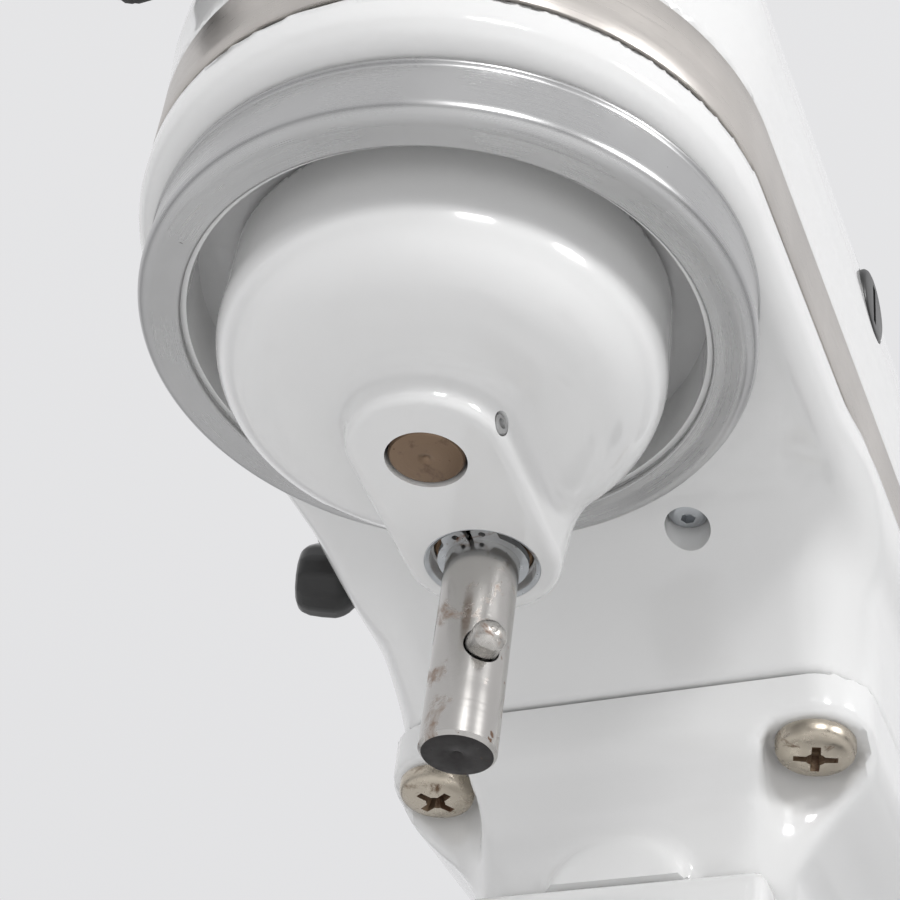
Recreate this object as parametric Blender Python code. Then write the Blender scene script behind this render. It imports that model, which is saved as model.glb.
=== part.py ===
"""Bowl-lift planetary stand mixer, without its bowl and beaters.

Everything is laid out in millimetres about the planetary axis: x to the machine's left-hand side
of a person facing it is negative, y runs from the nose back to the column, z is height above the
bottom of the drip ring. build_object() moves each finished body to the table frame, in metres.
"""
import math

import bmesh
import bpy
from mathutils import Matrix, Vector

# ---------------------------------------------------------------- table frame
RING_HEIGHT = 283.0
AXIS_Y = -64.0
GAP = 0.3

# ---------------------------------------------------------------- head
HEAD_JOINT_Z = 22.6
BAND_Z0 = 23.2
BAND_Z1 = 37.6
BAND_SEAT_TOP = 38.0
BAND_SEAT_DEPTH = 1.1
SHELL = 3.0
REAR_JOINT_Y = 198.0
HEAD_SECTIONS = [
    # z, half width, front y, rear y
    (22.75, 54.5, -57.4, 226.5),
    (38.0, 54.9, -57.8, 229.0),
    (50.0, 55.8, -58.0, 231.0),
    (66.0, 55.4, -58.0, 232.0),
    (80.0, 53.0, -57.0, 230.5),
    (93.0, 48.4, -53.0, 226.0),
    (104.0, 42.0, -46.0, 218.0),
    (113.0, 34.0, -36.0, 206.0),
    (120.0, 25.0, -24.0, 190.0),
    (125.0, 15.5, -9.0, 170.0),
    (127.6, 6.5, 6.0, 148.0),
]
NOSE_STEPS = 14
TAIL_STEPS = 10

# ---------------------------------------------------------------- lower head casting
NECK_SECTIONS = [
    # z, half width, front y, rear y
    (-10.4, 48.5, 87.1, 205.5),
    (-7.0, 48.7, 85.0, 207.0),
    (-2.0, 49.3, 81.3, 209.0),
    (3.0, 50.2, 77.0, 211.5),
    (8.0, 51.2, 72.0, 214.0),
    (12.0, 52.0, 67.0, 216.5),
    (15.5, 52.7, 60.5, 219.0),
    (17.5, 53.0, 54.0, 221.0),
]
FLOOR_TOP = 19.85
SKIRT_R = 48.3
SKIRT_BORE = 43.6
POT_R = 49.0
POT_TOP = 32.0
RING_SEAT_R = 46.3
CAVITY_X = 20.0

# ---------------------------------------------------------------- drive train
RING_TEETH = 42
PLANET_TEETH = 14
PLANET_MODULE = 2.0
ORBIT = PLANET_MODULE * (RING_TEETH - PLANET_TEETH) / 2
PLANET_ANGLE = math.radians(93.0)
PLANET_X = ORBIT * math.cos(PLANET_ANGLE)
PLANET_Y = ORBIT * math.sin(PLANET_ANGLE)
TRAIN_MODULE = 1.5
CENTRE_TEETH = 42
PINION_TEETH = 12
WHEEL_TEETH = 21
WORM_STARTS = 2
WORM_R = 7.0
WHEEL_R = TRAIN_MODULE * WHEEL_TEETH / 2
WHEEL_X = -(WORM_R + WHEEL_R)
CENTRE_DISTANCE = TRAIN_MODULE * (CENTRE_TEETH + PINION_TEETH) / 2
WHEEL_Y = math.sqrt(CENTRE_DISTANCE ** 2 - WHEEL_X ** 2)
MOTOR_Z = 66.0
HUB_Z = 64.0
HUB_FACE_Y = -64.0
HINGE_Y = HUB_FACE_Y - GAP - 2.6
HINGE_Z = HUB_Z + 27.0
BEVEL_TEETH = 24
HUB_TEETH = 12
BEVEL_MODULE = 2.25
PRESSURE = math.radians(25.0)
ADDENDUM = 0.8
DEDENDUM = 1.05
THINNING = 0.3

# ---------------------------------------------------------------- beater shaft
SHAFT_R = 6.35
SHAFT_END = -60.8
BOSS_FACE = -23.4
DOME_R = 37.6
DOME_BOTTOM = -16.5
DOME_CORNER = 14.0
DOME_TOP = 11.5
PIN_R = 2.9
PIN_Z = -43.5
PIN_ANGLE = math.radians(-47.0)

# ---------------------------------------------------------------- column, yoke and lift
COLUMN_BOTTOM = -253.0
COLUMN_SECTIONS = [
    # z, half width, front y, rear y
    (-10.7, 48.5, 87.2, 205.5),
    (-19.5, 48.5, 87.6, 205.0),
    (-23.5, 46.6, 89.5, 203.0),
    (-28.5, 41.5, 93.0, 198.0),
    (-34.0, 36.5, 96.0, 193.0),
    (-40.0, 32.6, 97.5, 189.0),
    (-44.6, 30.8, 98.0, 186.5),
    (-46.2, 30.2, 104.0, 185.2),
    (-70.0, 30.0, 104.0, 180.0),
    (-200.0, 30.0, 104.0, 180.0),
    (-228.0, 34.0, 103.0, 184.0),
    (-244.0, 40.0, 99.0, 192.0),
    (-253.0, 44.0, 95.0, 198.0),
]
COLUMN_SCREW_X = 38.0
COLUMN_SCREW_Y = (95.0, 196.0)
LIFT_Y = 124.0
LIFT_Z = -160.0
CRANK_R = 30.0
CRANK_HALF_SWING = math.radians(40.0)
CRANK_PIN_R = 4.0
LIFT_TRAVEL = 2 * CRANK_R * math.sin(CRANK_HALF_SWING)
CRANK_Y = LIFT_Y + CRANK_R * math.cos(CRANK_HALF_SWING)
CRANK_Z = LIFT_Z + CRANK_R * math.sin(CRANK_HALF_SWING)
YOKE_PATH = [
    (22.0, 98.5),
    (40.0, 97.0),
    (60.0, 89.0),
    (80.0, 73.0),
    (96.0, 49.0),
    (105.0, 22.0),
    (108.0, -8.0),
]
YOKE_Z0 = -104.0
YOKE_Z1 = -84.0
YOKE_HALF = 5.0

# ---------------------------------------------------------------- speed lever
LEVER_SWING = math.radians(22.0)
LEVER_X = -27.5
LEVER_Y = 96.5
LEVER_REACH = 38.8
LEVER_Z0 = 23.0
LEVER_Z1 = 26.0

# ---------------------------------------------------------------- base
BASE_Z0 = -280.0
BASE_Z1 = -253.3
BASE_HALF = 127.0
BASE_LEG = 43.0
BASE_LEG_TIP_Y = -84.0
BASE_REAR_Y = 224.0
FEET = {
    "front_right": (105.5, -84.0),
    "front_left": (-105.5, -84.0),
    "rear_right": (92.0, 176.0),
    "rear_left": (-92.0, 176.0),
}

# ---------------------------------------------------------------- colours: rgb, metallic, roughness
ENAMEL = ((0.90, 0.90, 0.89), 0.0, 0.18)
ALUMINIUM = ((0.72, 0.73, 0.74), 1.0, 0.32)
SILVER = ((0.66, 0.63, 0.60), 0.9, 0.35)
STEEL = ((0.56, 0.55, 0.53), 1.0, 0.28)
DARK_STEEL = ((0.20, 0.20, 0.20), 0.9, 0.40)
NICKEL = ((0.58, 0.53, 0.45), 1.0, 0.30)
ZINC = ((0.62, 0.64, 0.66), 1.0, 0.35)
BRONZE = ((0.30, 0.22, 0.15), 0.9, 0.40)
BRASS = ((0.70, 0.55, 0.28), 1.0, 0.35)
COPPER = ((0.60, 0.30, 0.18), 1.0, 0.40)
BLACK = ((0.02, 0.02, 0.02), 0.0, 0.35)
RUBBER = ((0.05, 0.05, 0.05), 0.0, 0.75)
CARBON = ((0.04, 0.04, 0.04), 0.1, 0.60)
LAMINATION = ((0.30, 0.31, 0.33), 0.9, 0.45)


# ================================================================ mesh helpers
def mesh_object(name, verts, faces):
    """A temporary object in millimetres, with its faces turned outward."""
    mesh = bpy.data.meshes.new(name)
    mesh.from_pydata([tuple(v) for v in verts], [], faces)
    work = bmesh.new()
    work.from_mesh(mesh)
    bmesh.ops.remove_doubles(work, verts=work.verts, dist=1e-5)
    bmesh.ops.recalc_face_normals(work, faces=work.faces)
    work.to_mesh(mesh)
    work.free()
    obj = bpy.data.objects.new(name, mesh)
    bpy.context.scene.collection.objects.link(obj)
    return obj


def moved(obj, matrix):
    obj.data.transform(matrix)
    if matrix.determinant() < 0:
        obj.data.flip_normals()
    return obj


def loft(rings, closed=False):
    """A body through rings of equal length; closed joins the last ring to the first."""
    count = len(rings[0])
    verts = [p for ring in rings for p in ring]
    faces = []
    spans = len(rings) if closed else len(rings) - 1
    for k in range(spans):
        low = k * count
        high = ((k + 1) % len(rings)) * count
        for i in range(count):
            j = (i + 1) % count
            faces.append((low + i, low + j, high + j, high + i))
    if not closed:
        faces.append(tuple(range(count)))
        faces.append(tuple(range((len(rings) - 1) * count, len(rings) * count)))
    return mesh_object("loft", verts, faces)


def circle(radius, z, steps, phase=0.0, centre=(0.0, 0.0)):
    return [
        (
            centre[0] + radius * math.cos(phase + 2 * math.pi * i / steps),
            centre[1] + radius * math.sin(phase + 2 * math.pi * i / steps),
            z,
        )
        for i in range(steps)
    ]


def tube(profile, steps=32, centre=(0.0, 0.0)):
    """A ring turned from a closed (radius, z) profile that stays off the axis."""
    return loft([circle(r, z, steps, centre=centre) for r, z in profile], closed=True)


def turned(profile, steps=32, centre=(0.0, 0.0)):
    """A solid turned from an open (radius, z) profile, capped flat at both ends."""
    return loft([circle(r, z, steps, centre=centre) for r, z in profile])


def rod(radius, z0, z1, steps=20, centre=(0.0, 0.0), chamfer=0.0):
    if chamfer:
        profile = [(radius - chamfer, z0), (radius, z0 + chamfer), (radius, z1 - chamfer), (radius - chamfer, z1)]
    else:
        profile = [(radius, z0), (radius, z1)]
    return turned(profile, steps, centre)


def box(x0, x1, y0, y1, z0, z1):
    base = [(x0, y0), (x1, y0), (x1, y1), (x0, y1)]
    return loft([[(x, y, z) for x, y in base] for z in (z0, z1)])


def along_y(obj, x=0.0, y=0.0, z=0.0):
    """Turn a body made along +z to lie along +y, and place it."""
    return moved(obj, Matrix.Translation((x, y, z)) @ Matrix.Rotation(-math.pi / 2, 4, "X"))


def along_x(obj, x=0.0, y=0.0, z=0.0):
    """Turn a body made along +z to lie along +x, and place it."""
    return moved(obj, Matrix.Translation((x, y, z)) @ Matrix.Rotation(math.pi / 2, 4, "Y"))


def boolean(obj, others, operation):
    for other in others:
        mod = obj.modifiers.new("cut", "BOOLEAN")
        mod.operation = operation
        mod.solver = "EXACT"
        mod.object = other
    bpy.context.view_layer.update()
    graph = bpy.context.evaluated_depsgraph_get()
    mesh = bpy.data.meshes.new_from_object(obj.evaluated_get(graph))
    obj.modifiers.clear()
    obj.data = mesh
    for other in others:
        bpy.data.objects.remove(other)
    return obj


def cut(obj, *others):
    return boolean(obj, others, "DIFFERENCE")


def fuse(obj, *others):
    return boolean(obj, others, "UNION")


def build_object(name, body, look, origin=(0.0, 0.0, 0.0)):
    """Name a finished body, give it its material and set it in the table frame."""
    pivot = Vector(origin)
    body.data.transform(Matrix.Scale(0.001, 4) @ Matrix.Translation(-pivot))
    body.location = (pivot + Vector((0.0, AXIS_Y, RING_HEIGHT))) * 0.001
    body.name = name
    body.data.name = name
    colour, metallic, roughness = look
    material = bpy.data.materials.new(name)
    material.use_nodes = True
    shader = material.node_tree.nodes["Principled BSDF"]
    shader.inputs["Base Color"].default_value = (*colour, 1.0)
    shader.inputs["Metallic"].default_value = metallic
    shader.inputs["Roughness"].default_value = roughness
    body.data.materials.clear()
    body.data.materials.append(material)
    for poly in body.data.polygons:
        poly.material_index = 0
    return body


def build_pair(name, make, look, origin=(0.0, 0.0, 0.0)):
    """The same piece on the right and, mirrored, on the left."""
    build_object(name + "_right", make(), look, origin)
    build_object(name + "_left", moved(make(), Matrix.Diagonal((-1.0, 1.0, 1.0, 1.0))), look, origin)


# ================================================================ outlines
def head_outline(half, front, rear, z, inset=0.0):
    """Round nose, straight sides and a squarer tail, seen from above."""
    half -= inset
    front += inset
    rear -= inset
    nose = min(half * 1.03, (rear - front) * 0.45)
    tail = min(48.0, (rear - front) * 0.45)
    points = []
    for i in range(NOSE_STEPS + 1):
        angle = math.pi + math.pi * i / NOSE_STEPS
        points.append((half * math.cos(angle), front + nose + nose * math.sin(angle), z))
    for i in range(TAIL_STEPS + 1):
        angle = math.pi * i / TAIL_STEPS
        cosine = math.cos(angle)
        side = math.copysign(abs(cosine) ** 0.75, cosine)
        points.append((half * side, rear - tail + tail * abs(math.sin(angle)) ** 0.75, z))
    return points


def slab_outline(half, front, rear, z, front_radius=14.0, rear_radius=26.0, steps=5):
    """A rounded rectangle, seen from above."""
    points = []
    corners = (
        (-1, -1, front_radius, math.pi),
        (1, -1, front_radius, 1.5 * math.pi),
        (1, 1, rear_radius, 0.0),
        (-1, 1, rear_radius, 0.5 * math.pi),
    )
    for side, end, radius, start in corners:
        cx = side * (half - radius)
        cy = front + radius if end < 0 else rear - radius
        for i in range(steps + 1):
            angle = start + 0.5 * math.pi * i / steps
            points.append((cx + radius * math.cos(angle), cy + radius * math.sin(angle), z))
    return points


def base_outline(z, inset=0.0):
    """The horseshoe base, seen from above, open toward the front."""
    outer = BASE_HALF - inset
    inner = BASE_HALF - BASE_LEG + inset
    crotch_y = 4.0
    right = []
    for i in range(8):
        angle = math.pi / 2 * (1 - i / 7)
        right.append((inner * math.cos(angle), crotch_y + inner * math.sin(angle)))
    middle = (inner + outer) / 2
    radius = (outer - inner) / 2
    for i in range(7):
        angle = math.pi + math.pi * i / 6
        right.append((middle + radius * math.cos(angle), BASE_LEG_TIP_Y + radius * math.sin(angle)))
    rear = BASE_REAR_Y - inset
    depth = 84.0 - inset
    for i in range(9):
        angle = math.pi / 2 * i / 8
        x = outer * math.cos(angle) ** 0.8 if i < 8 else 0.0
        right.append((x, rear - depth + depth * math.sin(angle) ** 0.8))
    left = [(-x, y) for x, y in reversed(right[1:-1])]
    return [(x, y, z) for x, y in right + left]


# ================================================================ gears
def involute(angle):
    return math.tan(angle) - angle


def half_tooth(radius, teeth, module, thinning):
    """Half the angle that a tooth takes up at a radius."""
    pitch = module * teeth / 2
    base = pitch * math.cos(PRESSURE)
    limited = max(radius, base)
    at_pitch = (math.pi * module / 2 - thinning) / (2 * pitch)
    return at_pitch + involute(PRESSURE) - involute(math.acos(base / limited))


def tooth_ring(teeth, module, levels, thinning, phase, twist=0.0):
    """(radius, angle) pairs round a gear, each tooth drawn through the given radii."""
    points = []
    for k in range(teeth):
        middle = phase + twist + 2 * math.pi * k / teeth
        for r in levels:
            points.append((r, middle - half_tooth(r, teeth, module, thinning)))
        for r in reversed(levels):
            points.append((r, middle + half_tooth(r, teeth, module, thinning)))
    return points


def polar(points, z, centre):
    return [(centre[0] + r * math.cos(a), centre[1] + r * math.sin(a), z) for r, a in points]


def spur_gear(teeth, module, z0, z1, centre, phase, bore, levels=3, twist=0.0):
    """A spur gear with a bore; twist turns its top face round for a helical gear."""
    pitch = module * teeth / 2
    low = pitch - DEDENDUM * module
    high = pitch + ADDENDUM * module
    radii = [low + (high - low) * i / (levels - 1) for i in range(levels)]
    bottom = tooth_ring(teeth, module, radii, THINNING, phase, -twist / 2)
    top = tooth_ring(teeth, module, radii, THINNING, phase, twist / 2)
    gear = loft([polar(bottom, z0, centre), polar(top, z1, centre)])
    return cut(gear, rod(bore, z0 - 1.0, z1 + 1.0, 20, centre)) if bore else gear


def internal_gear(teeth, module, z0, z1, outer):
    """A ring with teeth on its inside; a tooth space is centred at angle 0."""
    pitch = module * teeth / 2
    radii = [pitch - ADDENDUM * module, pitch + DEDENDUM * module]
    space = tooth_ring(teeth, module, radii, -THINNING, 0.0)
    hole = loft([polar(space, z0 - 1.0, (0, 0)), polar(space, z1 + 1.0, (0, 0))])
    return cut(rod(outer, z0, z1, 40), hole)


def bevel_gear(teeth, mate_teeth, phase, levels, bore, back, face=9.0):
    """A bevel gear about +z whose cone comes to a point at the origin, above the gear."""
    radius = BEVEL_MODULE * teeth / 2
    depth = BEVEL_MODULE * mate_teeth / 2
    cone = math.hypot(radius, depth)
    cosine = depth / cone
    sine = radius / cone
    virtual_r = radius / cosine
    virtual_teeth = teeth / cosine
    lowest = -DEDENDUM * BEVEL_MODULE
    highest = ADDENDUM * BEVEL_MODULE
    heights = [lowest + (highest - lowest) * i / (levels - 1) for i in range(levels)]
    outer = []
    for k in range(teeth):
        middle = phase + 2 * math.pi * k / teeth
        flank = []
        for h in heights:
            r = radius + h * cosine
            half = half_tooth(virtual_r + h, virtual_teeth, BEVEL_MODULE, THINNING) * (virtual_r + h) / r
            flank.append((r, half, -depth + h * sine))
        for r, half, z in flank:
            outer.append((r, middle - half, z))
        for r, half, z in reversed(flank):
            outer.append((r, middle + half, z))
    shrink = (cone - face) / cone
    ring_out = [(r * math.cos(a), r * math.sin(a), z) for r, a, z in outer]
    ring_in = [(x * shrink, y * shrink, z * shrink) for x, y, z in ring_out]
    top = max(p[2] for p in ring_in)
    hub_r = (radius + lowest) * shrink * 0.92
    rings = [
        [((radius - 4) * math.cos(a), (radius - 4) * math.sin(a), back) for r, a, z in outer],
        ring_out,
        ring_in,
        [(hub_r * math.cos(a), hub_r * math.sin(a), top - 2.2) for r, a, z in outer],
    ]
    gear = loft(rings)
    return cut(gear, rod(bore, back - 1.0, 0.0, 20)) if bore else gear


def worm(z0, z1, phase):
    """A worm about +z: its cross-section turned steadily along its length."""
    pitch = math.pi * TRAIN_MODULE
    lead = WORM_STARTS * pitch
    root = WORM_R - DEDENDUM * TRAIN_MODULE
    tip = WORM_R + ADDENDUM * TRAIN_MODULE
    slope = math.tan(PRESSURE)
    at_pitch = pitch / 4 - THINNING / 2
    at_tip = at_pitch - (tip - WORM_R) * slope
    at_root = at_pitch + (WORM_R - root) * slope
    section = []
    for k in range(WORM_STARTS):
        middle = k * pitch
        section.append((root, middle - at_root))
        section.append((tip, middle - at_tip))
        section.append((tip, middle + at_tip))
        section.append((root, middle + at_root))
        section.append((root, middle + (at_root + pitch - at_root) / 2 + 0.05))
    steps = int((z1 - z0) / lead * 16)
    rings = []
    for i in range(steps + 1):
        z = z0 + (z1 - z0) * i / steps
        turn = phase + 2 * math.pi * z / lead
        rings.append(
            [
                (r * math.cos(turn - 2 * math.pi * s / lead), r * math.sin(turn - 2 * math.pi * s / lead), z)
                for r, s in section
            ]
        )
    return loft(rings)


# ================================================================ the head
def head_body(inset, z_bottom, z_top, seat):
    """The head above its joint, as a solid; seat narrows it where the trim band sits."""
    rings = []
    for index, (z, half, front, rear) in enumerate(HEAD_SECTIONS):
        if index in (2, 4, 6, 8) and not seat:
            continue
        if index == 0:
            depth = inset + (BAND_SEAT_DEPTH if seat else 0.0)
            rings.append(head_outline(half, front, rear, z_bottom, depth))
            if seat:
                upper = HEAD_SECTIONS[1]
                rings.append(head_outline(upper[1], upper[2], upper[3], BAND_SEAT_TOP - 0.1, depth))
        elif index == len(HEAD_SECTIONS) - 1:
            rings.append(head_outline(half, front, rear, z_top, min(inset, 2.0)))
        else:
            height = z - inset * max(0.0, (z - 60.0) / 68.0)
            rings.append(head_outline(half, front, rear, height, inset))
    return loft(rings)


def head_shell():
    outer = head_body(0.0, HEAD_JOINT_Z + GAP / 2, 127.6, True)
    inner = head_body(SHELL + 0.4, HEAD_JOINT_Z - 2.0, 124.4, False)
    return cut(outer, inner)


def build_housing():
    """The motor housing and its rear cover are cut from one shell."""
    housing = cut(head_shell(), box(-80, 80, REAR_JOINT_Y - GAP / 2, 260, 0, 150))
    boss = along_y(turned([(22.6, 0), (24.0, 1.4), (24.0, 24.0)], 24), 0, -64.0, HUB_Z)
    fuse(housing, boss)
    fuse(housing, along_y(rod(16.0, 0, 20, 24), 0, -50.0, HUB_Z))
    for x0 in (-9.3, 5.3):
        fuse(housing, along_x(rod(2.6, 0, 4.0, 14), x0, HINGE_Y, HINGE_Z))
        fuse(housing, box(x0, x0 + 4.0, HINGE_Y, -48.0, HINGE_Z - 2.2, HINGE_Z + 2.2))
    cut(housing, along_x(rod(1.5, 0, 20.0, 12), -10.0, HINGE_Y, HINGE_Z))
    cut(housing, along_y(rod(11.5, 0, 45, 24), 0, -70.0, HUB_Z))
    fuse(housing, along_x(turned([(7.0, 0), (8.0, 1.0), (8.0, 22.0)], 16), -39.2, -52.0, HUB_Z))
    cut(housing, along_x(rod(3.3, 0, 40, 12), -50.0, -52.0, HUB_Z))
    for side in (1, -1):
        x0, x1 = (43.0, 54.0) if side > 0 else (-54.0, -43.0)
        fuse(housing, along_x(rod(12.0, 0, x1 - x0, 20), x0, 73.0, MOTOR_Z))
        cut(housing, along_x(rod(8.0, 0, 24, 20), 40.0 if side > 0 else -64.0, 73.0, MOTOR_Z))
        cut(housing, along_x(rod(9.6, 0, 10, 20), 53.2 if side > 0 else -63.2, 73.0, MOTOR_Z))
    cut(housing, box(-60, -45, 81.0, 112.0, LEVER_Z0 - 0.4, LEVER_Z1 + 0.4))
    build_object("head_housing", housing, ENAMEL)

    cover = cut(head_shell(), box(-80, 80, -100, REAR_JOINT_Y + GAP / 2, 0, 150))
    cut(cover, along_y(rod(2.4, 0, 40, 12), 0, 200.0, MOTOR_Z))
    for row in range(5):
        z = 44.0 + row * 9.0
        if row != 2:
            cut(cover, box(-22, 22, 222, 240, z, z + 4.0))
    build_object("rear_cover", cover, ENAMEL)
    screw = along_y(turned([(2.0, 0), (2.0, 25.0)], 10), 0, 208.0, MOTOR_Z)
    fuse(screw, along_y(turned([(4.6, 0), (4.6, 1.2), (3.2, 2.2)], 16), 0, 232.3, MOTOR_Z))
    build_object("rear_cover_screw", screw, NICKEL)


def build_band():
    z0, half0, front0, rear0 = HEAD_SECTIONS[0]
    z1, half1, front1, rear1 = HEAD_SECTIONS[1]
    rings = [
        head_outline(half0, front0, rear0, BAND_Z0, 0.0),
        head_outline(half1, front1, rear1, BAND_Z1, 0.0),
        head_outline(half1, front1, rear1, BAND_Z1, 0.75),
        head_outline(half0, front0, rear0, BAND_Z0, 0.75),
    ]
    band = loft(rings, closed=True)
    cut(band, box(-60, -45, 81.0, 112.0, LEVER_Z0 - 0.4, LEVER_Z1 + 0.4))
    build_object("trim_band", band, SILVER)


def build_lower():
    """The lower head casting: nose floor, gear pot, drip-ring skirt and gooseneck."""
    z, half, front, rear = HEAD_SECTIONS[0]
    top = HEAD_JOINT_Z - GAP / 2
    floor = [(13.2, 6.0), (13.9, 3.4), (15.2, 1.4), (17.0, 0.4), (top, 0.0)]
    body = loft([head_outline(half, front, rear, level, inset) for level, inset in floor])
    cut(body, loft([head_outline(half, front, rear, level, SHELL + 1.6) for level in (FLOOR_TOP, 30.0)]))
    neck = loft([slab_outline(w, f, r, level) for level, w, f, r in NECK_SECTIONS])
    fuse(body, neck)
    fuse(body, rod(SKIRT_R, 1.7, 15.5, 40))
    fuse(body, rod(POT_R, 17.0, POT_TOP, 40))
    cut(body, rod(SKIRT_BORE, 0.0, 13.3, 40))
    cut(body, rod(RING_SEAT_R, 13.0, 23.8, 40))
    cut(body, rod(9.3, 20.0, 40.0, 24))
    cut(body, rod(4.3, 27.0, 40.0, 16, (WHEEL_X, WHEEL_Y)))
    cut(body, box(-CAVITY_X, CAVITY_X, 91.0, 196.0, -7.0, 30.0))
    cut(body, along_y(rod(8.3, 0, 40, 20), 0, 190.0, 4.0))
    for side in (1, -1):
        cut(body, rod(4.3, 5.0, 15.6, 20, (side * 21.0, 66.5)))
        cut(body, rod(1.9, 15.0, 19.0, 10, (side * 21.0, 66.5)))
        for y in COLUMN_SCREW_Y:
            cut(body, rod(3.3, -13.0, 2.4, 12, (side * COLUMN_SCREW_X, y)))
    cut(body, along_x(rod(4.4, 0, 20, 20), 46.0, 108.0, 15.0))
    cut(body, along_x(rod(5.2, 0, 20, 20), 53.0, 108.0, 15.0))
    # the pivot post of the speed lever
    fuse(body, turned([(4.4, 17.0), (4.4, 28.6)], 20, (LEVER_X, LEVER_Y)))
    build_object("head_lower", body, ENAMEL)
    build_pair("underside_screw", underside_screw, ZINC)
    plug = along_x(turned([(4.1, 0), (4.1, 6.3), (4.9, 6.3), (4.9, 7.0), (4.0, 7.7)], 20), 47.0, 108.0, 15.0)
    build_object("blanking_plug", plug, BLACK)
    gland = along_y(tube([(8.0, 0), (8.0, 22.0), (6.2, 28.0), (3.6, 28.0), (3.6, 0)], 20), 0, 199.0, 4.0)
    build_object("cord_gland", gland, RUBBER)


def underside_screw():
    """A button-head socket screw, head down, in its counterbore."""
    screw = turned([(2.4, 12.2), (3.9, 13.0), (3.9, 15.3)], 20, (21.0, 66.5))
    fuse(screw, rod(1.6, 15.0, 18.6, 10, (21.0, 66.5)))
    return cut(screw, rod(1.3, 11.0, 13.6, 6, (21.0, 66.5)))


def build_hub():
    face_y = HUB_FACE_Y - GAP
    cover = along_y(turned([(20.5, 0), (23.0, 1.0), (23.8, 2.4), (23.8, 3.2)], 24), 0, face_y - 3.2, HUB_Z)
    lug = box(-5, 5, face_y - 3.0, face_y, HUB_Z + 20, HINGE_Z)
    fuse(cover, lug)
    fuse(cover, along_x(rod(2.6, 0, 10, 14), -5.0, HINGE_Y, HINGE_Z))
    cut(cover, along_x(rod(1.5, 0, 20, 12), -10.0, HINGE_Y, HINGE_Z))
    build_object("hub_cover", cover, ALUMINIUM, (0, HINGE_Y, HINGE_Z))
    pin = along_x(rod(1.2, 0, 19.0, 12), -9.5, HINGE_Y, HINGE_Z)
    build_object("hub_cover_pin", pin, STEEL)
    knob = along_x(turned([(8.5, 0), (10.0, 1.5), (10.0, 8.5), (9.0, 11.0), (6.0, 12.5)], 16), 0, -52.0, HUB_Z)
    moved(knob, Matrix.Translation((-40.0, 0, 0)) @ Matrix.Diagonal((-1.0, 1.0, 1.0, 1.0)))
    fuse(knob, along_x(rod(2.9, 0, 29.0, 16), -41.5, -52.0, HUB_Z))
    build_object("hub_knob", knob, BLACK, (-40.0, -52.0, HUB_Z))
    bush = along_y(tube([(11.2, 0), (11.2, 11.0), (8.3, 11.0), (8.3, 0)], 16), 0, -44.0, HUB_Z)
    build_object("hub_bush", bush, BRONZE)


def build_drip_ring():
    profile = [
        (51.9, 12.4),
        (51.7, 4.6),
        (51.3, 2.2),
        (50.2, 0.6),
        (48.6, 0.0),
        (45.0, -0.1),
        (44.0, 0.4),
        (44.0, 1.3),
        (48.5, 1.3),
        (49.6, 2.2),
        (50.2, 4.6),
        (50.6, 12.4),
    ]
    build_object("drip_ring", tube(profile, 44), ALUMINIUM)


# ================================================================ planetary
def build_planetary():
    corner = []
    for i in range(6):
        angle = math.pi / 2 * i / 5
        corner.append(
            (
                DOME_R - DOME_CORNER + DOME_CORNER * math.sin(angle),
                DOME_BOTTOM + DOME_CORNER - DOME_CORNER * math.cos(angle),
            )
        )
    profile = [(8.0, DOME_BOTTOM)] + corner + [(DOME_R, DOME_TOP - 1.0), (DOME_R - 1.0, DOME_TOP)]
    body = turned(profile, 40)
    steps = 8
    rings = []
    boss_levels = ((BOSS_FACE, 12.0), (BOSS_FACE + 0.5, 13.1), (-19.0, 14.2), (-15.5, 16.4), (-2.0, 17.6))
    for z, radius in boss_levels:
        ring = []
        for i in range(steps + 1):
            angle = PLANET_ANGLE + math.pi / 2 + math.pi * i / steps
            ring.append((radius * math.cos(angle) + 0.4, radius * math.sin(angle) - 0.6, z))
        reach = min(radius, 15.0)
        for i in range(steps + 1):
            angle = PLANET_ANGLE - math.pi / 2 + math.pi * i / steps
            ring.append((PLANET_X + reach * math.cos(angle), PLANET_Y + min(reach, 13.6) * math.sin(angle), z))
        rings.append(ring)
    fuse(body, loft(rings))
    cut(body, rod(6.6, -40.0, 30.0, 28))
    cut(body, rod(9.1, -40.0, -20.4, 28, (PLANET_X, PLANET_Y)))
    cut(body, rod(8.6, -21.0, 30.0, 28, (PLANET_X, PLANET_Y)))
    cut(body, roll_pin(2.1, 24.0))
    build_object("planetary", body, ENAMEL)
    build_object("planetary_roll_pin", roll_pin(1.8, 7.0), STEEL)
    shaft = turned([(6.0, -23.1), (6.3, -22.8), (6.3, 55.0), (5.8, 55.5)], 28)
    build_object("centre_shaft", shaft, BRONZE)
    bush = tube([(8.3, -20.0), (8.3, 11.2), (SHAFT_R + GAP, 11.2), (SHAFT_R + GAP, -20.0)], 20, (PLANET_X, PLANET_Y))
    build_object("beater_bush", bush, BRONZE)


def roll_pin(radius, length):
    """The pin that holds the planetary on its shaft, set into the side of the boss."""
    angle = math.radians(-10.0)
    start = 7.0
    pin = along_x(rod(radius, start, start + length, 14))
    return moved(pin, Matrix.Translation((0, 0, -20.8)) @ Matrix.Rotation(angle, 4, "Z"))


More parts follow.
